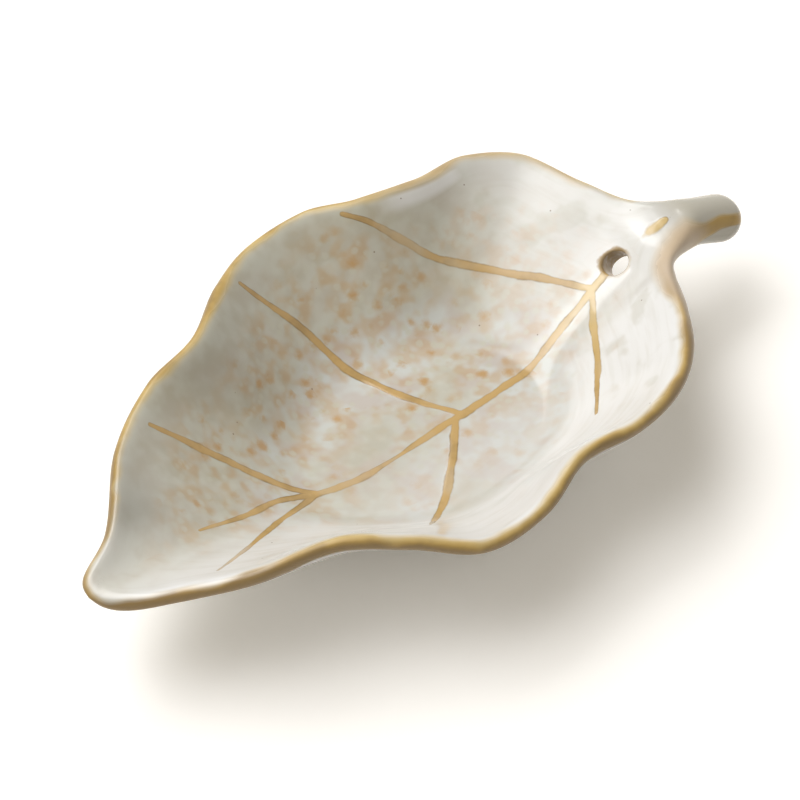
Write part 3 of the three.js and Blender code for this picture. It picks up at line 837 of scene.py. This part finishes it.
    def joint_normals(self):
        """Normals of the skin along the joint of leaf and stem: square to the steps to the neighbours on
        the grid."""
        lengthwise = self.points[self.joint + 1] - self.points[self.joint - 1]
        here = self.points[self.joint]
        sideways = np.roll(here, -1, 0) - np.roll(here, 1, 0)
        normal = np.cross(lengthwise, sideways)
        normal *= np.sign((normal * (here - here.mean(0))).sum(1, keepdims=True))
        return self.number[self.joint], normal / np.linalg.norm(normal, axis=1, keepdims=True)

    def stretch(self, start, stop):
        """Quads of the grid between two rows, as an array that keeps the grid's shape."""
        here, there = self.number[start:stop], self.number[start + 1 : stop + 1]
        return np.stack([here, np.roll(here, -1, 1), np.roll(there, -1, 1), there], -1)

    def closed_piece(self, name, points, values, quads, triangles, end, way):
        """A stretch of the body, closed by a fan at one end of the body, which is its first row (end 0) or
        its last (end -1), and by a flat fan at the joint. Way turns the fans to face outwards."""
        form = self.form
        end_fan = fan(len(points), self.number[end])[:, ::way]
        joint_fan = fan(len(points) + 1, self.number[self.joint])[:, ::-way]
        end_point = form.left[end] + [0, 0, form.floor_middle]
        points = np.vstack([points, end_point, self.points[self.joint].mean(0)]) + np.array(FOOT_MIDDLE)
        added = {"vein": [form.FAR_SHARE] * 2, "hole": [self.FAR] * 2, "rim": [0, self.FAR]}
        values = {label: np.append(values[label], added[label]) for label in added}
        triangles = np.concatenate([triangles, end_fan, joint_fan])
        return make_piece(name, points, quads, triangles, values, len(joint_fan), self.joint_normals())

    def leaf_piece(self, name):
        """The leaf dish: the rows from the tip to the joint, with the stick hole."""
        quads = self.stretch(0, self.joint)
        kept = np.ones(quads.shape[:2], bool)
        points, values, hole_quads, wall = self.pierce(kept)
        return self.closed_piece(name, points, values, np.concatenate([quads[kept], hole_quads]), wall, 0, -1)

    def stem_piece(self, name):
        """The stem: the rows from the joint to the rounded end."""
        points = self.points.reshape(-1, 3)
        quads = self.stretch(self.joint, len(self.along) - 1).reshape(-1, 4)
        values = {"vein": self.vein.ravel(), "hole": np.full(len(points), self.FAR), "rim": self.rim.ravel()}
        return self.closed_piece(name, points, values, quads, NO_TRIANGLES, -1, 1)


def foot_grid(holder):
    """The foot ring: its section, which draws in towards the table and has rounded edges there, carried
    square to an oval inside the edge of the floor. Rows run round the oval, columns round the section."""
    foot, leaf = holder.foot, holder.leaf
    half, inner = foot.thickness / 2, foot.thickness / 2 - foot.taper
    turn = np.linspace(0, math.pi / 2, FOOT_STEPS + 1)
    down = np.linspace(0, 1, FOOT_STEPS + 1)[:-1]
    side_out = half + (inner - half) * down - FOOT_HOLLOW * np.sin(math.pi * down)
    side_up = foot.height + FOOT_SINK + (foot.edge - foot.height - FOOT_SINK) * down
    out = np.append(side_out, inner - foot.edge + foot.edge * np.cos(turn))
    up = np.append(side_up, foot.edge - foot.edge * np.sin(turn))
    out, up = np.append(out, -out[::-1]), np.append(up, up[::-1])
    around = np.linspace(0, 2 * math.pi, FOOT_AROUND, endpoint=False)
    long = leaf.floor_length / 2 - foot.inset - half
    wide = leaf.floor_width / 2 - foot.inset - half
    outward = np.stack([np.cos(around) / long, np.sin(around) / wide], -1)
    outward /= np.linalg.norm(outward, axis=1, keepdims=True)
    oval = np.stack([long * np.cos(around), wide * np.sin(around)], -1)
    plan = oval[:, None] + outward[:, None] * out[:, None]
    return np.concatenate([plan, np.broadcast_to(up[None, :, None], plan.shape[:2] + (1,))], -1)


class Recipe:
    """Lays the nodes of one material, world or lamp."""

    def __init__(self, owner):
        owner.use_nodes = True
        self.owner = owner
        self.tree = owner.node_tree
        self.tree.nodes.clear()

    def add(self, kind, values=None, **settings):
        """A node with its settings. Each value is a number, a colour or another node's socket."""
        node = self.tree.nodes.new("ShaderNode" + kind)
        for setting, value in settings.items():
            setattr(node, setting, value)
        for socket, value in (values or {}).items():
            if isinstance(value, bpy.types.NodeSocket):
                self.tree.links.new(value, node.inputs[socket])
            else:
                node.inputs[socket].default_value = value
        return node

    def maths(self, operation, first, *others):
        """Numbers joined by one operation, from left to right."""
        for other in others:
            first = self.add("Math", {0: first, 1: other}, operation=operation).outputs[0]
        return first

    def times(self, *numbers):
        """The product of the numbers."""
        return self.maths("MULTIPLY", *numbers)

    def plus(self, *numbers):
        """The sum of the numbers."""
        return self.maths("ADD", *numbers)

    def minus(self, first, second):
        """The first number less the second."""
        return self.maths("SUBTRACT", first, second)

    def most(self, *numbers):
        """The largest of the numbers."""
        return self.maths("MAXIMUM", *numbers)

    def vectors(self, operation, first, second):
        """The outputs of one operation on two vectors."""
        return self.add("VectorMath", {0: first, 1: second}, operation=operation).outputs

    def ramp(self, value, low, high, start=0.0, stop=1.0):
        """A smooth turn from start at low to stop at high."""
        values = {"Value": value, "From Min": low, "From Max": high, "To Min": start, "To Max": stop}
        return self.add("MapRange", values, interpolation_type="SMOOTHSTEP").outputs[0]

    def blend(self, share, first, second):
        """A colour between two."""
        colours = [c if isinstance(c, bpy.types.NodeSocket) else (*c, 1) for c in (first, second)]
        return self.add("Mix", {0: share, 6: colours[0], 7: colours[1]}, data_type="RGBA").outputs[2]

    def noise(self, vector, size, detail=2.0, roughness=0.5, distortion=0.0):
        """Soft noise whose features are about size millimetres wide."""
        values = {"Vector": vector, "Scale": 1 / (size * MM), "Detail": detail}
        values.update({"Roughness": roughness, "Distortion": distortion})
        return self.add("TexNoise", values).outputs[0]

    def cells(self, vector, size):
        """Round cells about size millimetres wide: the distance to the middle, and three chance numbers for
        each cell."""
        node = self.add("TexVoronoi", {"Vector": vector, "Scale": 1 / (size * MM)}, feature="F1")
        return node.outputs["Distance"], self.add("SeparateColor", {0: node.outputs["Color"]}).outputs

    def value_of(self, name):
        """An attribute of the vertices."""
        return self.add("Attribute", attribute_name=name).outputs["Fac"]

    def seen(self):
        """1 for what is looked at, straight, in a reflection or through glass, and 0 for light on other
        things."""
        path = self.add("LightPath").outputs
        return self.most(path["Is Camera Ray"], path["Is Glossy Ray"], path["Is Transmission Ray"])

    def finish(self, shader, output="OutputMaterial"):
        """Joins the shader to the surface."""
        self.add(output, {"Surface": shader})
        return self.owner


class GlazeRecipe(Recipe):
    """Cream stoneware glaze, laid from the body outwards. The values x, y, z, rim and hole are millimetres
    on the leaf, with rim positive on the upper side and negative on the underside, and vein is in half
    widths."""

    # The glaze's map: for each feature the place where it sets in and the place where it is full
    # Along the leaf, from the tip at the low end to the stem at the high end
    TIPWARD = (-40, -56)
    PAINTED_SHADE_TIP = (-42, -56)
    TIP_RUNS = (-38, -60)
    LOBE = (10, 35)
    SMUDGES = (12, 30)
    PAINTED_REFLECTION = (16, 23), (37, 32)
    CROWN = (18, 46)
    CROWN_RIM = (8, 26)
    PALE_VEINS = (22, 40)
    ROOT = (34, 45), (60, 54)
    STEM = (50, 58)
    STEM_RIM = (49, 66)
    STEM_EDGE = (55, 62)
    PLAIN_STEM = (50, 60)
    NARROWED_STEM = (55, 60)

    # Across the leaf, from the right side at the low end to the left side at the high end
    LEFT_HALF = (-22, -2)
    RIGHT_WALL = (2, -12)
    RIGHT_RIM = (4, -2)
    RIGHT_VEINS = (4, 0)
    RIGHT_TO_LEFT = (-8, 8)
    HOLE_LEFT = (-2.5, 1.5)
    PAINTED_SHADE_LEFT = (1, 6)
    CROWN_LEFT = (3, 9)
    CROWN_RIM_LEFT = (6, 16)
    PAINTED_REFLECTION_LEFT = (8, 16)

    # Heights above the table, and distances from the rim
    POOL = (13, 7)
    WALL = (6.6, 9.5)
    MOTTLED = (4, 12)
    PAINTED_SHADE_BAND = (14, 5)
    PAINTED_REFLECTION_BAND = (1.4, 2.2), (5, 3)

    # The middle of the thickest patch of mottles and the distances from it
    PATCH = (7 * MM, 22 * MM, 13 * MM)
    PATCH_REACH = (18 * MM, 8 * MM)

    SHIFT = (0.3, 0.7, 0.1)  # moves a second set of noises away from the first
    DRIFT = 0.13  # how fast streaks change along the rim, as a share of how fast they change inwards
    GLASS = 1.52  # index of refraction of the glaze
    BUMP_HEIGHT = 0.12 * MM

    def __init__(self, colours):
        super().__init__(bpy.data.materials.new("stoneware_glaze"))
        self.colours = colours
        self.place = self.add("TexCoord").outputs["Object"]
        self.moved = self.vectors("ADD", self.place, self.SHIFT)[0]
        self.x, self.y, self.z = (
            self.times(axis, 1 / MM) for axis in self.add("SeparateXYZ", {0: self.place}).outputs
        )
        self.rim, self.vein, self.hole = (self.value_of(name) for name in ("rim", "vein", "hole"))
        self.stray = self.minus(self.noise(self.place, 1.7, 2), 0.5)
        self.tone = self.noise(self.place, 4.5, 3, 0.6)
        self.dark = self.ramp(self.tone, 0.42, 0.72, 0, 0.4)
        self.honey = self.blend(self.dark, colours.honey, colours.brown)

    def clouded_body(self):
        """Cream, paler where the glaze is thick, with blue-grey clouds and a pink tinge, most of them where
        it pooled on the floor."""
        colours, place = self.colours, self.place
        pooled = self.ramp(self.z, *self.POOL)
        thick = self.plus(self.noise(place, 2.8, 1.5), self.times(self.noise(place, 11, 2), 0.7))
        body = self.blend(self.ramp(thick, 0.6, 1.1), colours.cream, colours.pale)
        cloud = self.ramp(self.noise(place, 17, 2), 0.36, 0.6, 0.4)
        body = self.blend(self.times(cloud, self.ramp(pooled, 0, 1, 0.25, 0.9)), body, colours.cloud)
        blush = self.ramp(self.noise(place, 6, 2), 0.44, 0.66)
        return self.blend(self.times(blush, self.ramp(pooled, 0, 1, 0.15, 0.6)), body, colours.blush)

    def mottles(self, body):
        """Clusters of tan on the left side, away from the rim, and over one patch: fuzzy blurs, pale round
        cells in them and ragged spots of unlike sizes on top."""
        colours, place, moved = self.colours, self.place, self.moved
        left = self.times(self.ramp(self.y, *self.LEFT_HALF, 0.2), self.ramp(self.rim, *self.MOTTLED))
        cluster = self.times(self.ramp(self.noise(place, 13, 1), 0.32, 0.52, 0.2), left)
        from_patch = self.vectors("DISTANCE", place, self.PATCH)["Value"]
        cluster = self.most(cluster, self.ramp(from_patch, *self.PATCH_REACH, 0, 0.95))
        blur = self.ramp(self.noise(moved, 3, 1), 0.4, 0.68)
        body = self.blend(self.times(blur, cluster, 0.48), body, colours.mottle)
        cell = self.plus(self.cells(moved, 1.9)[0], self.times(self.noise(place, 1, 2), 0.3))
        body = self.blend(self.times(self.ramp(cell, 0.3, 0.6, 0.65, 0), cluster), body, colours.pale)
        distance, chance = self.cells(place, 2.8)
        ragged = self.times(self.minus(self.noise(moved, 0.9, 2), 0.5), 0.45)
        spot = self.minus(self.plus(distance, ragged), self.times(chance[1], 0.2))
        spot = self.times(self.ramp(spot, -0.1, 0.38, 0.85, 0), self.ramp(chance[0], 0.35, 0.65))
        return self.blend(self.times(spot, cluster), body, colours.mottle)

    def white_runs_and_painted_light(self, body):
        """White over the right wall, the crown beside the stem and the tip in streaks, with thinner smudges:
        partly thick glaze that ran down, partly painted light where the softboxes light the walls most; and a
        painted reflection, a white band under a stretch of the left rim."""
        x, y = self.x, self.y
        inward = self.add("CombineXYZ", {2: self.times(self.rim, MM)}).outputs[0]
        drift = self.add("VectorMath", {0: self.place, "Scale": self.DRIFT}, operation="SCALE").outputs[0]
        self.streak = self.noise(self.vectors("ADD", inward, drift)[0], 1.3, 2, 0.5, 0.3)
        # Painted light, in part: the right wall and the crown, which the softboxes light most, are whitened
        # along with the real runs
        right = self.ramp(y, *self.RIGHT_WALL, 0, 0.95)
        crown = self.times(self.ramp(x, *self.CROWN, 0, 0.8), self.ramp(y, *self.CROWN_LEFT, 1, 0.85))
        tip = self.ramp(x, *self.TIP_RUNS, 0, 0.35)
        wall = self.ramp(self.z, *self.WALL, 0.3)
        smudge = self.ramp(self.noise(self.moved, 7, 2.5), 0.48, 0.66)
        smudge = self.ramp(self.times(smudge, self.ramp(x, *self.SMUDGES)), 0, 1, 1, 0.6)
        streaky = self.ramp(self.streak, 0.25, 0.6, 0.85, 1.05)
        run = self.times(self.most(right, crown, tip), wall, streaky, smudge)
        # Painted reflection: a white band just inside a stretch of the left rim
        lip = self.ramp(y, *self.PAINTED_REFLECTION_LEFT, 0, 0.8)
        for value, stretches in ((self.rim, self.PAINTED_REFLECTION_BAND), (x, self.PAINTED_REFLECTION)):
            lip = self.times(lip, *(self.ramp(value, *stretch) for stretch in stretches))
        self.run = self.most(run, lip)
        return self.blend(self.run, body, self.colours.white)

    def tip_shade_specks_and_stem(self, body):
        """Painted shade in grey on the left side of the tip near its rim, rare iron specks, and a stone
        colour over the stem.
        """
        colours = self.colours
        # Painted shade: grey over the left side of the tip, strongest near the rim
        grey = self.times(self.ramp(self.x, *self.PAINTED_SHADE_TIP, 0, 0.55), self.ramp(self.y, *self.PAINTED_SHADE_LEFT))
        body = self.blend(self.times(grey, self.ramp(self.rim, *self.PAINTED_SHADE_BAND)), body, colours.grey)
        distance, chance = self.cells(self.place, 2.6)
        speck = self.times(self.ramp(distance, 0.03, 0.075, 0.75, 0), self.ramp(chance[2], 0.8, 0.82))
        body = self.blend(speck, body, colours.speck)
        return self.blend(self.ramp(self.x, *self.STEM, 0, 0.85), body, colours.stone)

    def broken_rim(self, body):
        """Amber where the glaze broke over the rim, in a band that sways and is wider on the right lobe and
        the stem: straw towards the dish and brown under the lip, partly the glaze's own breaking in patches
        and partly painted light on the lip's upper side and painted shade under it, browner at the tip and
        the lobe, and peach at the stem's root and on the crown."""
        colours, x, y = self.colours, self.x, self.y
        right = self.ramp(y, *self.RIGHT_RIM)
        root = self.times(*(self.ramp(x, *stretch) for stretch in self.ROOT), right)
        lobe = self.times(self.ramp(x, *self.LOBE, 0, 0.5), right)
        tipward = self.ramp(x, *self.TIPWARD)
        sway = self.times(self.minus(self.noise(self.place, 7, 1.5), 0.5), 2.2)
        wide = self.plus(self.ramp(y, *self.RIGHT_TO_LEFT, 0.35, 0.65), lobe, self.times(root, 0.5))
        wide = self.times(wide, self.ramp(x, *self.NARROWED_STEM, 1, 0))
        wide = self.plus(wide, self.ramp(x, *self.STEM_RIM, 0, 2.6), self.times(tipward, -0.5))
        over = self.minus(self.plus(self.rim, sway), wide)
        over = self.times(over, self.ramp(x, *self.STEM_EDGE, 1, 1.6), self.ramp(root, 0, 1, 1, 0.5))
        self.band = self.times(self.ramp(over, 0.1, 1.6, 1, 0), self.ramp(over, -3, -2.1))

        patchy = self.ramp(self.noise(self.moved, 8, 3), 0.35, 0.65, -0.35, 0.35)
        toast = self.plus(self.times(tipward, 1.3), self.times(lobe, 1.2))
        # Straw on the lip's upper side and brown under it: partly painted light and shade, partly the glaze's
        # own patchy breaking
        lip_light_shade_and_wear = self.minus(self.plus(over, patchy), toast)
        amber = self.blend(self.dark, colours.amber, colours.brown)
        amber = self.blend(self.ramp(lip_light_shade_and_wear, -0.6, 0.8, 0, 0.6), amber, colours.straw)
        # Painted shade, in part: brown under the rim's lip
        toasted = self.times(self.ramp(lip_light_shade_and_wear, -1.2, -0.1, 0.85, 0), self.ramp(x, *self.PLAIN_STEM, 1, 0.1))
        amber = self.blend(toasted, amber, colours.brown)
        crown = self.times(self.ramp(x, *self.CROWN_RIM, 0, 0.4), self.ramp(y, *self.CROWN_RIM_LEFT))
        amber = self.blend(self.most(self.times(root, 0.8), crown), amber, colours.peach)
        return self.blend(self.times(self.band, 0.97), body, amber)

    def broken_veins(self, body):
        """Honey over the veins, straw near the stem on the right, paler where a veil of glaze lies over
        them, with a brown outline."""
        colours = self.colours
        crest = self.times(self.ramp(self.x, *self.PALE_VEINS, 0, 0.6), self.ramp(self.y, *self.RIGHT_VEINS))
        wander = self.plus(self.vein, self.times(self.stray, 0.5))
        veil = self.ramp(self.noise(self.place, 13, 1.5), 0.34, 0.48, 0.6)
        line = self.times(self.ramp(wander, 0.8, 1.12, 1, 0), veil)
        body = self.blend(line, body, self.blend(crest, self.honey, colours.straw))
        outline = self.times(self.ramp(wander, 0.62, 0.92), self.ramp(wander, 1, 1.25, 1, 0))
        outline = self.times(outline, veil, self.ramp(self.tone, 0.4, 0.65, 0.25, 0.7))
        return self.blend(outline, body, colours.brown)

    def broken_hole(self, body):
        """Honey round the stick hole, browner and stronger on its left side."""
        ring = self.plus(self.hole, self.stray)
        ring = self.times(self.ramp(ring, 0.35, 0.85, 1, 0), self.ramp(ring, -0.9, -0.4))
        left = self.ramp(self.y, *self.HOLE_LEFT)
        honey = self.blend(self.times(left, 0.6), self.honey, self.colours.brown)
        return self.blend(self.times(ring, self.ramp(left, 0, 1, 0.25, 0.9)), body, honey)

    def material(self):
        """The whole glaze: its colour, a gloss that is duller over the rim, and shallow ripples."""
        body = self.clouded_body()
        layers = (self.mottles, self.white_runs_and_painted_light, self.tip_shade_specks_and_stem)
        for layer in (*layers, self.broken_rim, self.broken_veins, self.broken_hole):
            body = layer(body)
        rough = self.ramp(self.noise(self.place, 6, 3), 0.3, 0.75, 0.1, 0.2)
        rough = self.plus(rough, self.times(self.band, 0.18))
        relief = self.plus(self.noise(self.place, 5, 2, 0.4), self.times(self.streak, self.run, 0.06))
        bump = self.add("Bump", {"Strength": 0.25, "Distance": self.BUMP_HEIGHT, "Height": relief}).outputs[0]
        values = {"Base Color": body, "Roughness": rough, "Normal": bump, "IOR": self.GLASS}
        return self.finish(self.add("BsdfPrincipled", values).outputs[0])


def glaze_material(colours):
    """The glaze of leaf and stem."""
    return GlazeRecipe(colours).material()


def clay_material(colours):
    """Bare fired clay: sandy grain, darker toasted patches and iron specks."""
    mix = Recipe(bpy.data.materials.new("bare_clay"))
    place = mix.add("TexCoord").outputs["Object"]
    toasted = tuple(0.6 * part for part in colours.clay)
    sandy = tuple(min(1, 1.3 * part) for part in colours.clay)
    grain = mix.noise(place, 0.5, 4, 0.65)
    body = mix.blend(mix.ramp(mix.noise(place, 9, 3), 0.4, 0.7, 0, 0.55), colours.clay, toasted)
    body = mix.blend(mix.ramp(grain, 0.35, 0.75, 0, 0.45), body, sandy)
    distance, chance = mix.cells(place, 1.4)
    speck = mix.times(mix.ramp(distance, 0.05, 0.14, 0.85, 0), mix.ramp(chance[1], 0.6, 0.62))
    body = mix.blend(speck, body, colours.speck)
    rough = mix.ramp(grain, 0.3, 0.7, 0.75, 0.95)
    bump = mix.add("Bump", {"Strength": 0.6, "Distance": 0.15 * MM, "Height": grain}).outputs[0]
    shader = mix.add("BsdfPrincipled", {"Base Color": body, "Roughness": rough, "Normal": bump})
    return mix.finish(shader.outputs[0])


def shared(material_name, make, colours):
    """The material of that name, made the first time it is asked for."""
    return bpy.data.materials.get(material_name) or make(colours)


class LEAFHOLDER_OT_leaf(bpy.types.Operator):
    """Glazed leaf dish with its raised veins and its stick hole"""

    bl_idname = "leafholder.leaf"
    bl_label = "Glazed leaf dish"

    def execute(self, context):
        holder = context.scene.leaf_holder
        piece = Body(holder).leaf_piece("glazed_leaf_dish")
        piece.data.materials.append(shared("stoneware_glaze", glaze_material, holder.glaze))
        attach(piece, "root")
        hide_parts("leaf_dish")
        return {"FINISHED"}


class LEAFHOLDER_OT_stem(bpy.types.Operator):
    """Glazed stem that arches over from the neck of the leaf"""

    bl_idname = "leafholder.stem"
    bl_label = "Glazed stem"

    def execute(self, context):
        holder = context.scene.leaf_holder
        piece = Body(holder).stem_piece("glazed_stem")
        piece.data.materials.append(shared("stoneware_glaze", glaze_material, holder.glaze))
        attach(piece, "root")
        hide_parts("stem")
        return {"FINISHED"}


class LEAFHOLDER_OT_foot(bpy.types.Operator):
    """Foot ring of bare clay under the floor"""

    bl_idname = "leafholder.foot"
    bl_label = "Foot ring"

    def execute(self, context):
        holder = context.scene.leaf_holder
        grid = foot_grid(holder)
        numbers = np.arange(grid.shape[0] * grid.shape[1]).reshape(grid.shape[:2])
        quads = ring_faces(numbers, np.roll(numbers, -1, 0))
        points = grid.reshape(-1, 3) + np.array(FOOT_MIDDLE)
        piece = make_piece("clay_foot_ring", points, quads, NO_TRIANGLES, {})
        piece.data.materials.append(shared("bare_clay", clay_material, holder.glaze))
        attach(piece, "root")
        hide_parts("foot_ring")
        return {"FINISHED"}


def floor_material(stage):
    """Matt white floor, lifted a little where it is looked at, so that lit floor is white and shadow
    stays."""
    mix = Recipe(bpy.data.materials.new("studio_floor"))
    matt = mix.add("BsdfDiffuse", {"Color": (*stage.floor_white, 1)}).outputs[0]
    strength = mix.times(mix.seen(), stage.floor_glow)
    glow = mix.add("Emission", {"Color": (*stage.glow_tint, 1), "Strength": strength}).outputs[0]
    return mix.finish(mix.add("AddShader", {0: matt, 1: glow}).outputs[0])


def studio_world(stage):
    """White all round to the eye, to reflections and through glass, and a warm fill light on everything
    else."""
    mix = Recipe(bpy.data.worlds.new("studio"))
    seen = mix.seen()
    strength = mix.add("MapRange", {"Value": seen, "To Min": stage.fill, "To Max": 1}).outputs[0]
    tint = mix.blend(seen, stage.fill_tint, (1, 1, 1))
    return mix.finish(mix.add("Background", {"Color": tint, "Strength": strength}).outputs[0], "OutputWorld")


def softbox(name, aim, direction, distance, width, height, power):
    """An oblong lamp that faces the aim from a direction."""
    lamp = bpy.data.lights.new(name, "AREA")
    lamp.shape = "RECTANGLE"
    lamp.size, lamp.size_y = width, height
    lamp.energy = power
    holder = bpy.data.objects.new(name, lamp)
    back = Vector(direction).normalized()
    holder.location = aim + back * distance
    holder.rotation_euler = (-back).to_track_quat("-Z", "Y").to_euler()
    bpy.context.scene.collection.objects.link(holder)
    return lamp


def fade_to_edge(lamp):
    """Cloth that is brightest in the middle of the lamp and fades smoothly to nothing at its edge."""
    middle, edge, core = (0.5, 0.5, 0), 0.5, 0.05
    mix = Recipe(lamp)
    place = mix.add("NewGeometry").outputs["Parametric"]
    from_middle = mix.vectors("DISTANCE", place, middle)["Value"]
    glow = mix.add("Emission", {"Strength": mix.ramp(from_middle, edge, core)})
    mix.finish(glow.outputs[0], "OutputLight")


class LEAFHOLDER_OT_stage(bpy.types.Operator):
    """Plain white floor, soft light and the camera"""

    bl_idname = "leafholder.stage"
    bl_label = "Studio stage"

    def execute(self, context):
        scene = context.scene
        stage = scene.leaf_holder.stage
        half = stage.floor_size / 2
        mesh = bpy.data.meshes.new("floor")
        low = CAD_LOW.z - stage.floor_gap
        corners = [(-half, -half, low), (half, -half, low), (half, half, low), (-half, half, low)]
        mesh.from_pydata(corners, [], [(0, 1, 2, 3)])
        mesh.materials.append(floor_material(stage))
        floor = bpy.data.objects.new("floor", mesh)
        scene.collection.objects.link(floor)

        aim = FOOT_MIDDLE + Vector(stage.aim)
        away = stage.lamp_distance
        scene.world = studio_world(stage)
        fade_to_edge(softbox("key_softbox", aim, KEY_FROM, away, stage.key_width, stage.key_width, stage.key))
        softbox("back_softbox", aim, BACK_FROM, away, stage.back_width, stage.back_height, stage.back)

        camera = bpy.data.cameras.new("camera")
        camera.lens = stage.lens
        camera.sensor_width = stage.sensor
        camera.clip_start, camera.clip_end = stage.nearest, stage.farthest
        viewer = bpy.data.objects.new("camera", camera)
        flat, heading = math.cos(stage.elevation), stage.heading
        forward = Vector((math.sin(heading) * flat, math.cos(heading) * flat, -math.sin(stage.elevation)))
        viewer.location = aim - forward * stage.distance
        viewer.rotation_euler = forward.to_track_quat("-Z", "Y").to_euler()
        scene.collection.objects.link(viewer)
        scene.camera = viewer
        scene.view_settings.view_transform = "Standard"
        return {"FINISHED"}


class LEAFHOLDER_PT_panel(bpy.types.Panel):
    """Sizes, colours and pieces of the holder"""

    bl_idname = "LEAFHOLDER_PT_panel"
    bl_label = "Leaf holder"
    bl_space_type = "VIEW_3D"
    bl_region_type = "UI"
    bl_category = "Leaf holder"

    def draw(self, context):
        holder = context.scene.leaf_holder
        for group in HolderSettings.__annotations__:
            box = self.layout.box()
            box.label(text=group.capitalize())
            settings = getattr(holder, group)
            for name in settings.__annotations__:
                box.prop(settings, name)
        for operator in OPERATORS:
            self.layout.operator(operator.bl_idname)


GROUPS = (LeafSizes, StemSizes, HoleSizes, VeinSizes, FootSizes, GlazeColours, StageSizes, HolderSettings)
OPERATORS = (LEAFHOLDER_OT_leaf, LEAFHOLDER_OT_stem, LEAFHOLDER_OT_foot, LEAFHOLDER_OT_stage)
CLASSES = (*GROUPS, *OPERATORS, LEAFHOLDER_PT_panel)


def register():
    """Makes the settings, the operators and the panel known to Blender."""
    for item in CLASSES:
        bpy.utils.register_class(item)
    bpy.types.Scene.leaf_holder = bpy.props.PointerProperty(type=HolderSettings)


def unregister():
    """Takes the settings, the operators and the panel out again."""
    del bpy.types.Scene.leaf_holder
    for item in reversed(CLASSES):
        bpy.utils.unregister_class(item)


def main():
    """Builds the holder and its stage."""
    register()
    bpy.ops.leafholder.leaf()
    bpy.ops.leafholder.stem()
    bpy.ops.leafholder.foot()
    bpy.ops.leafholder.stage()


if __name__ == "__main__":
    main()
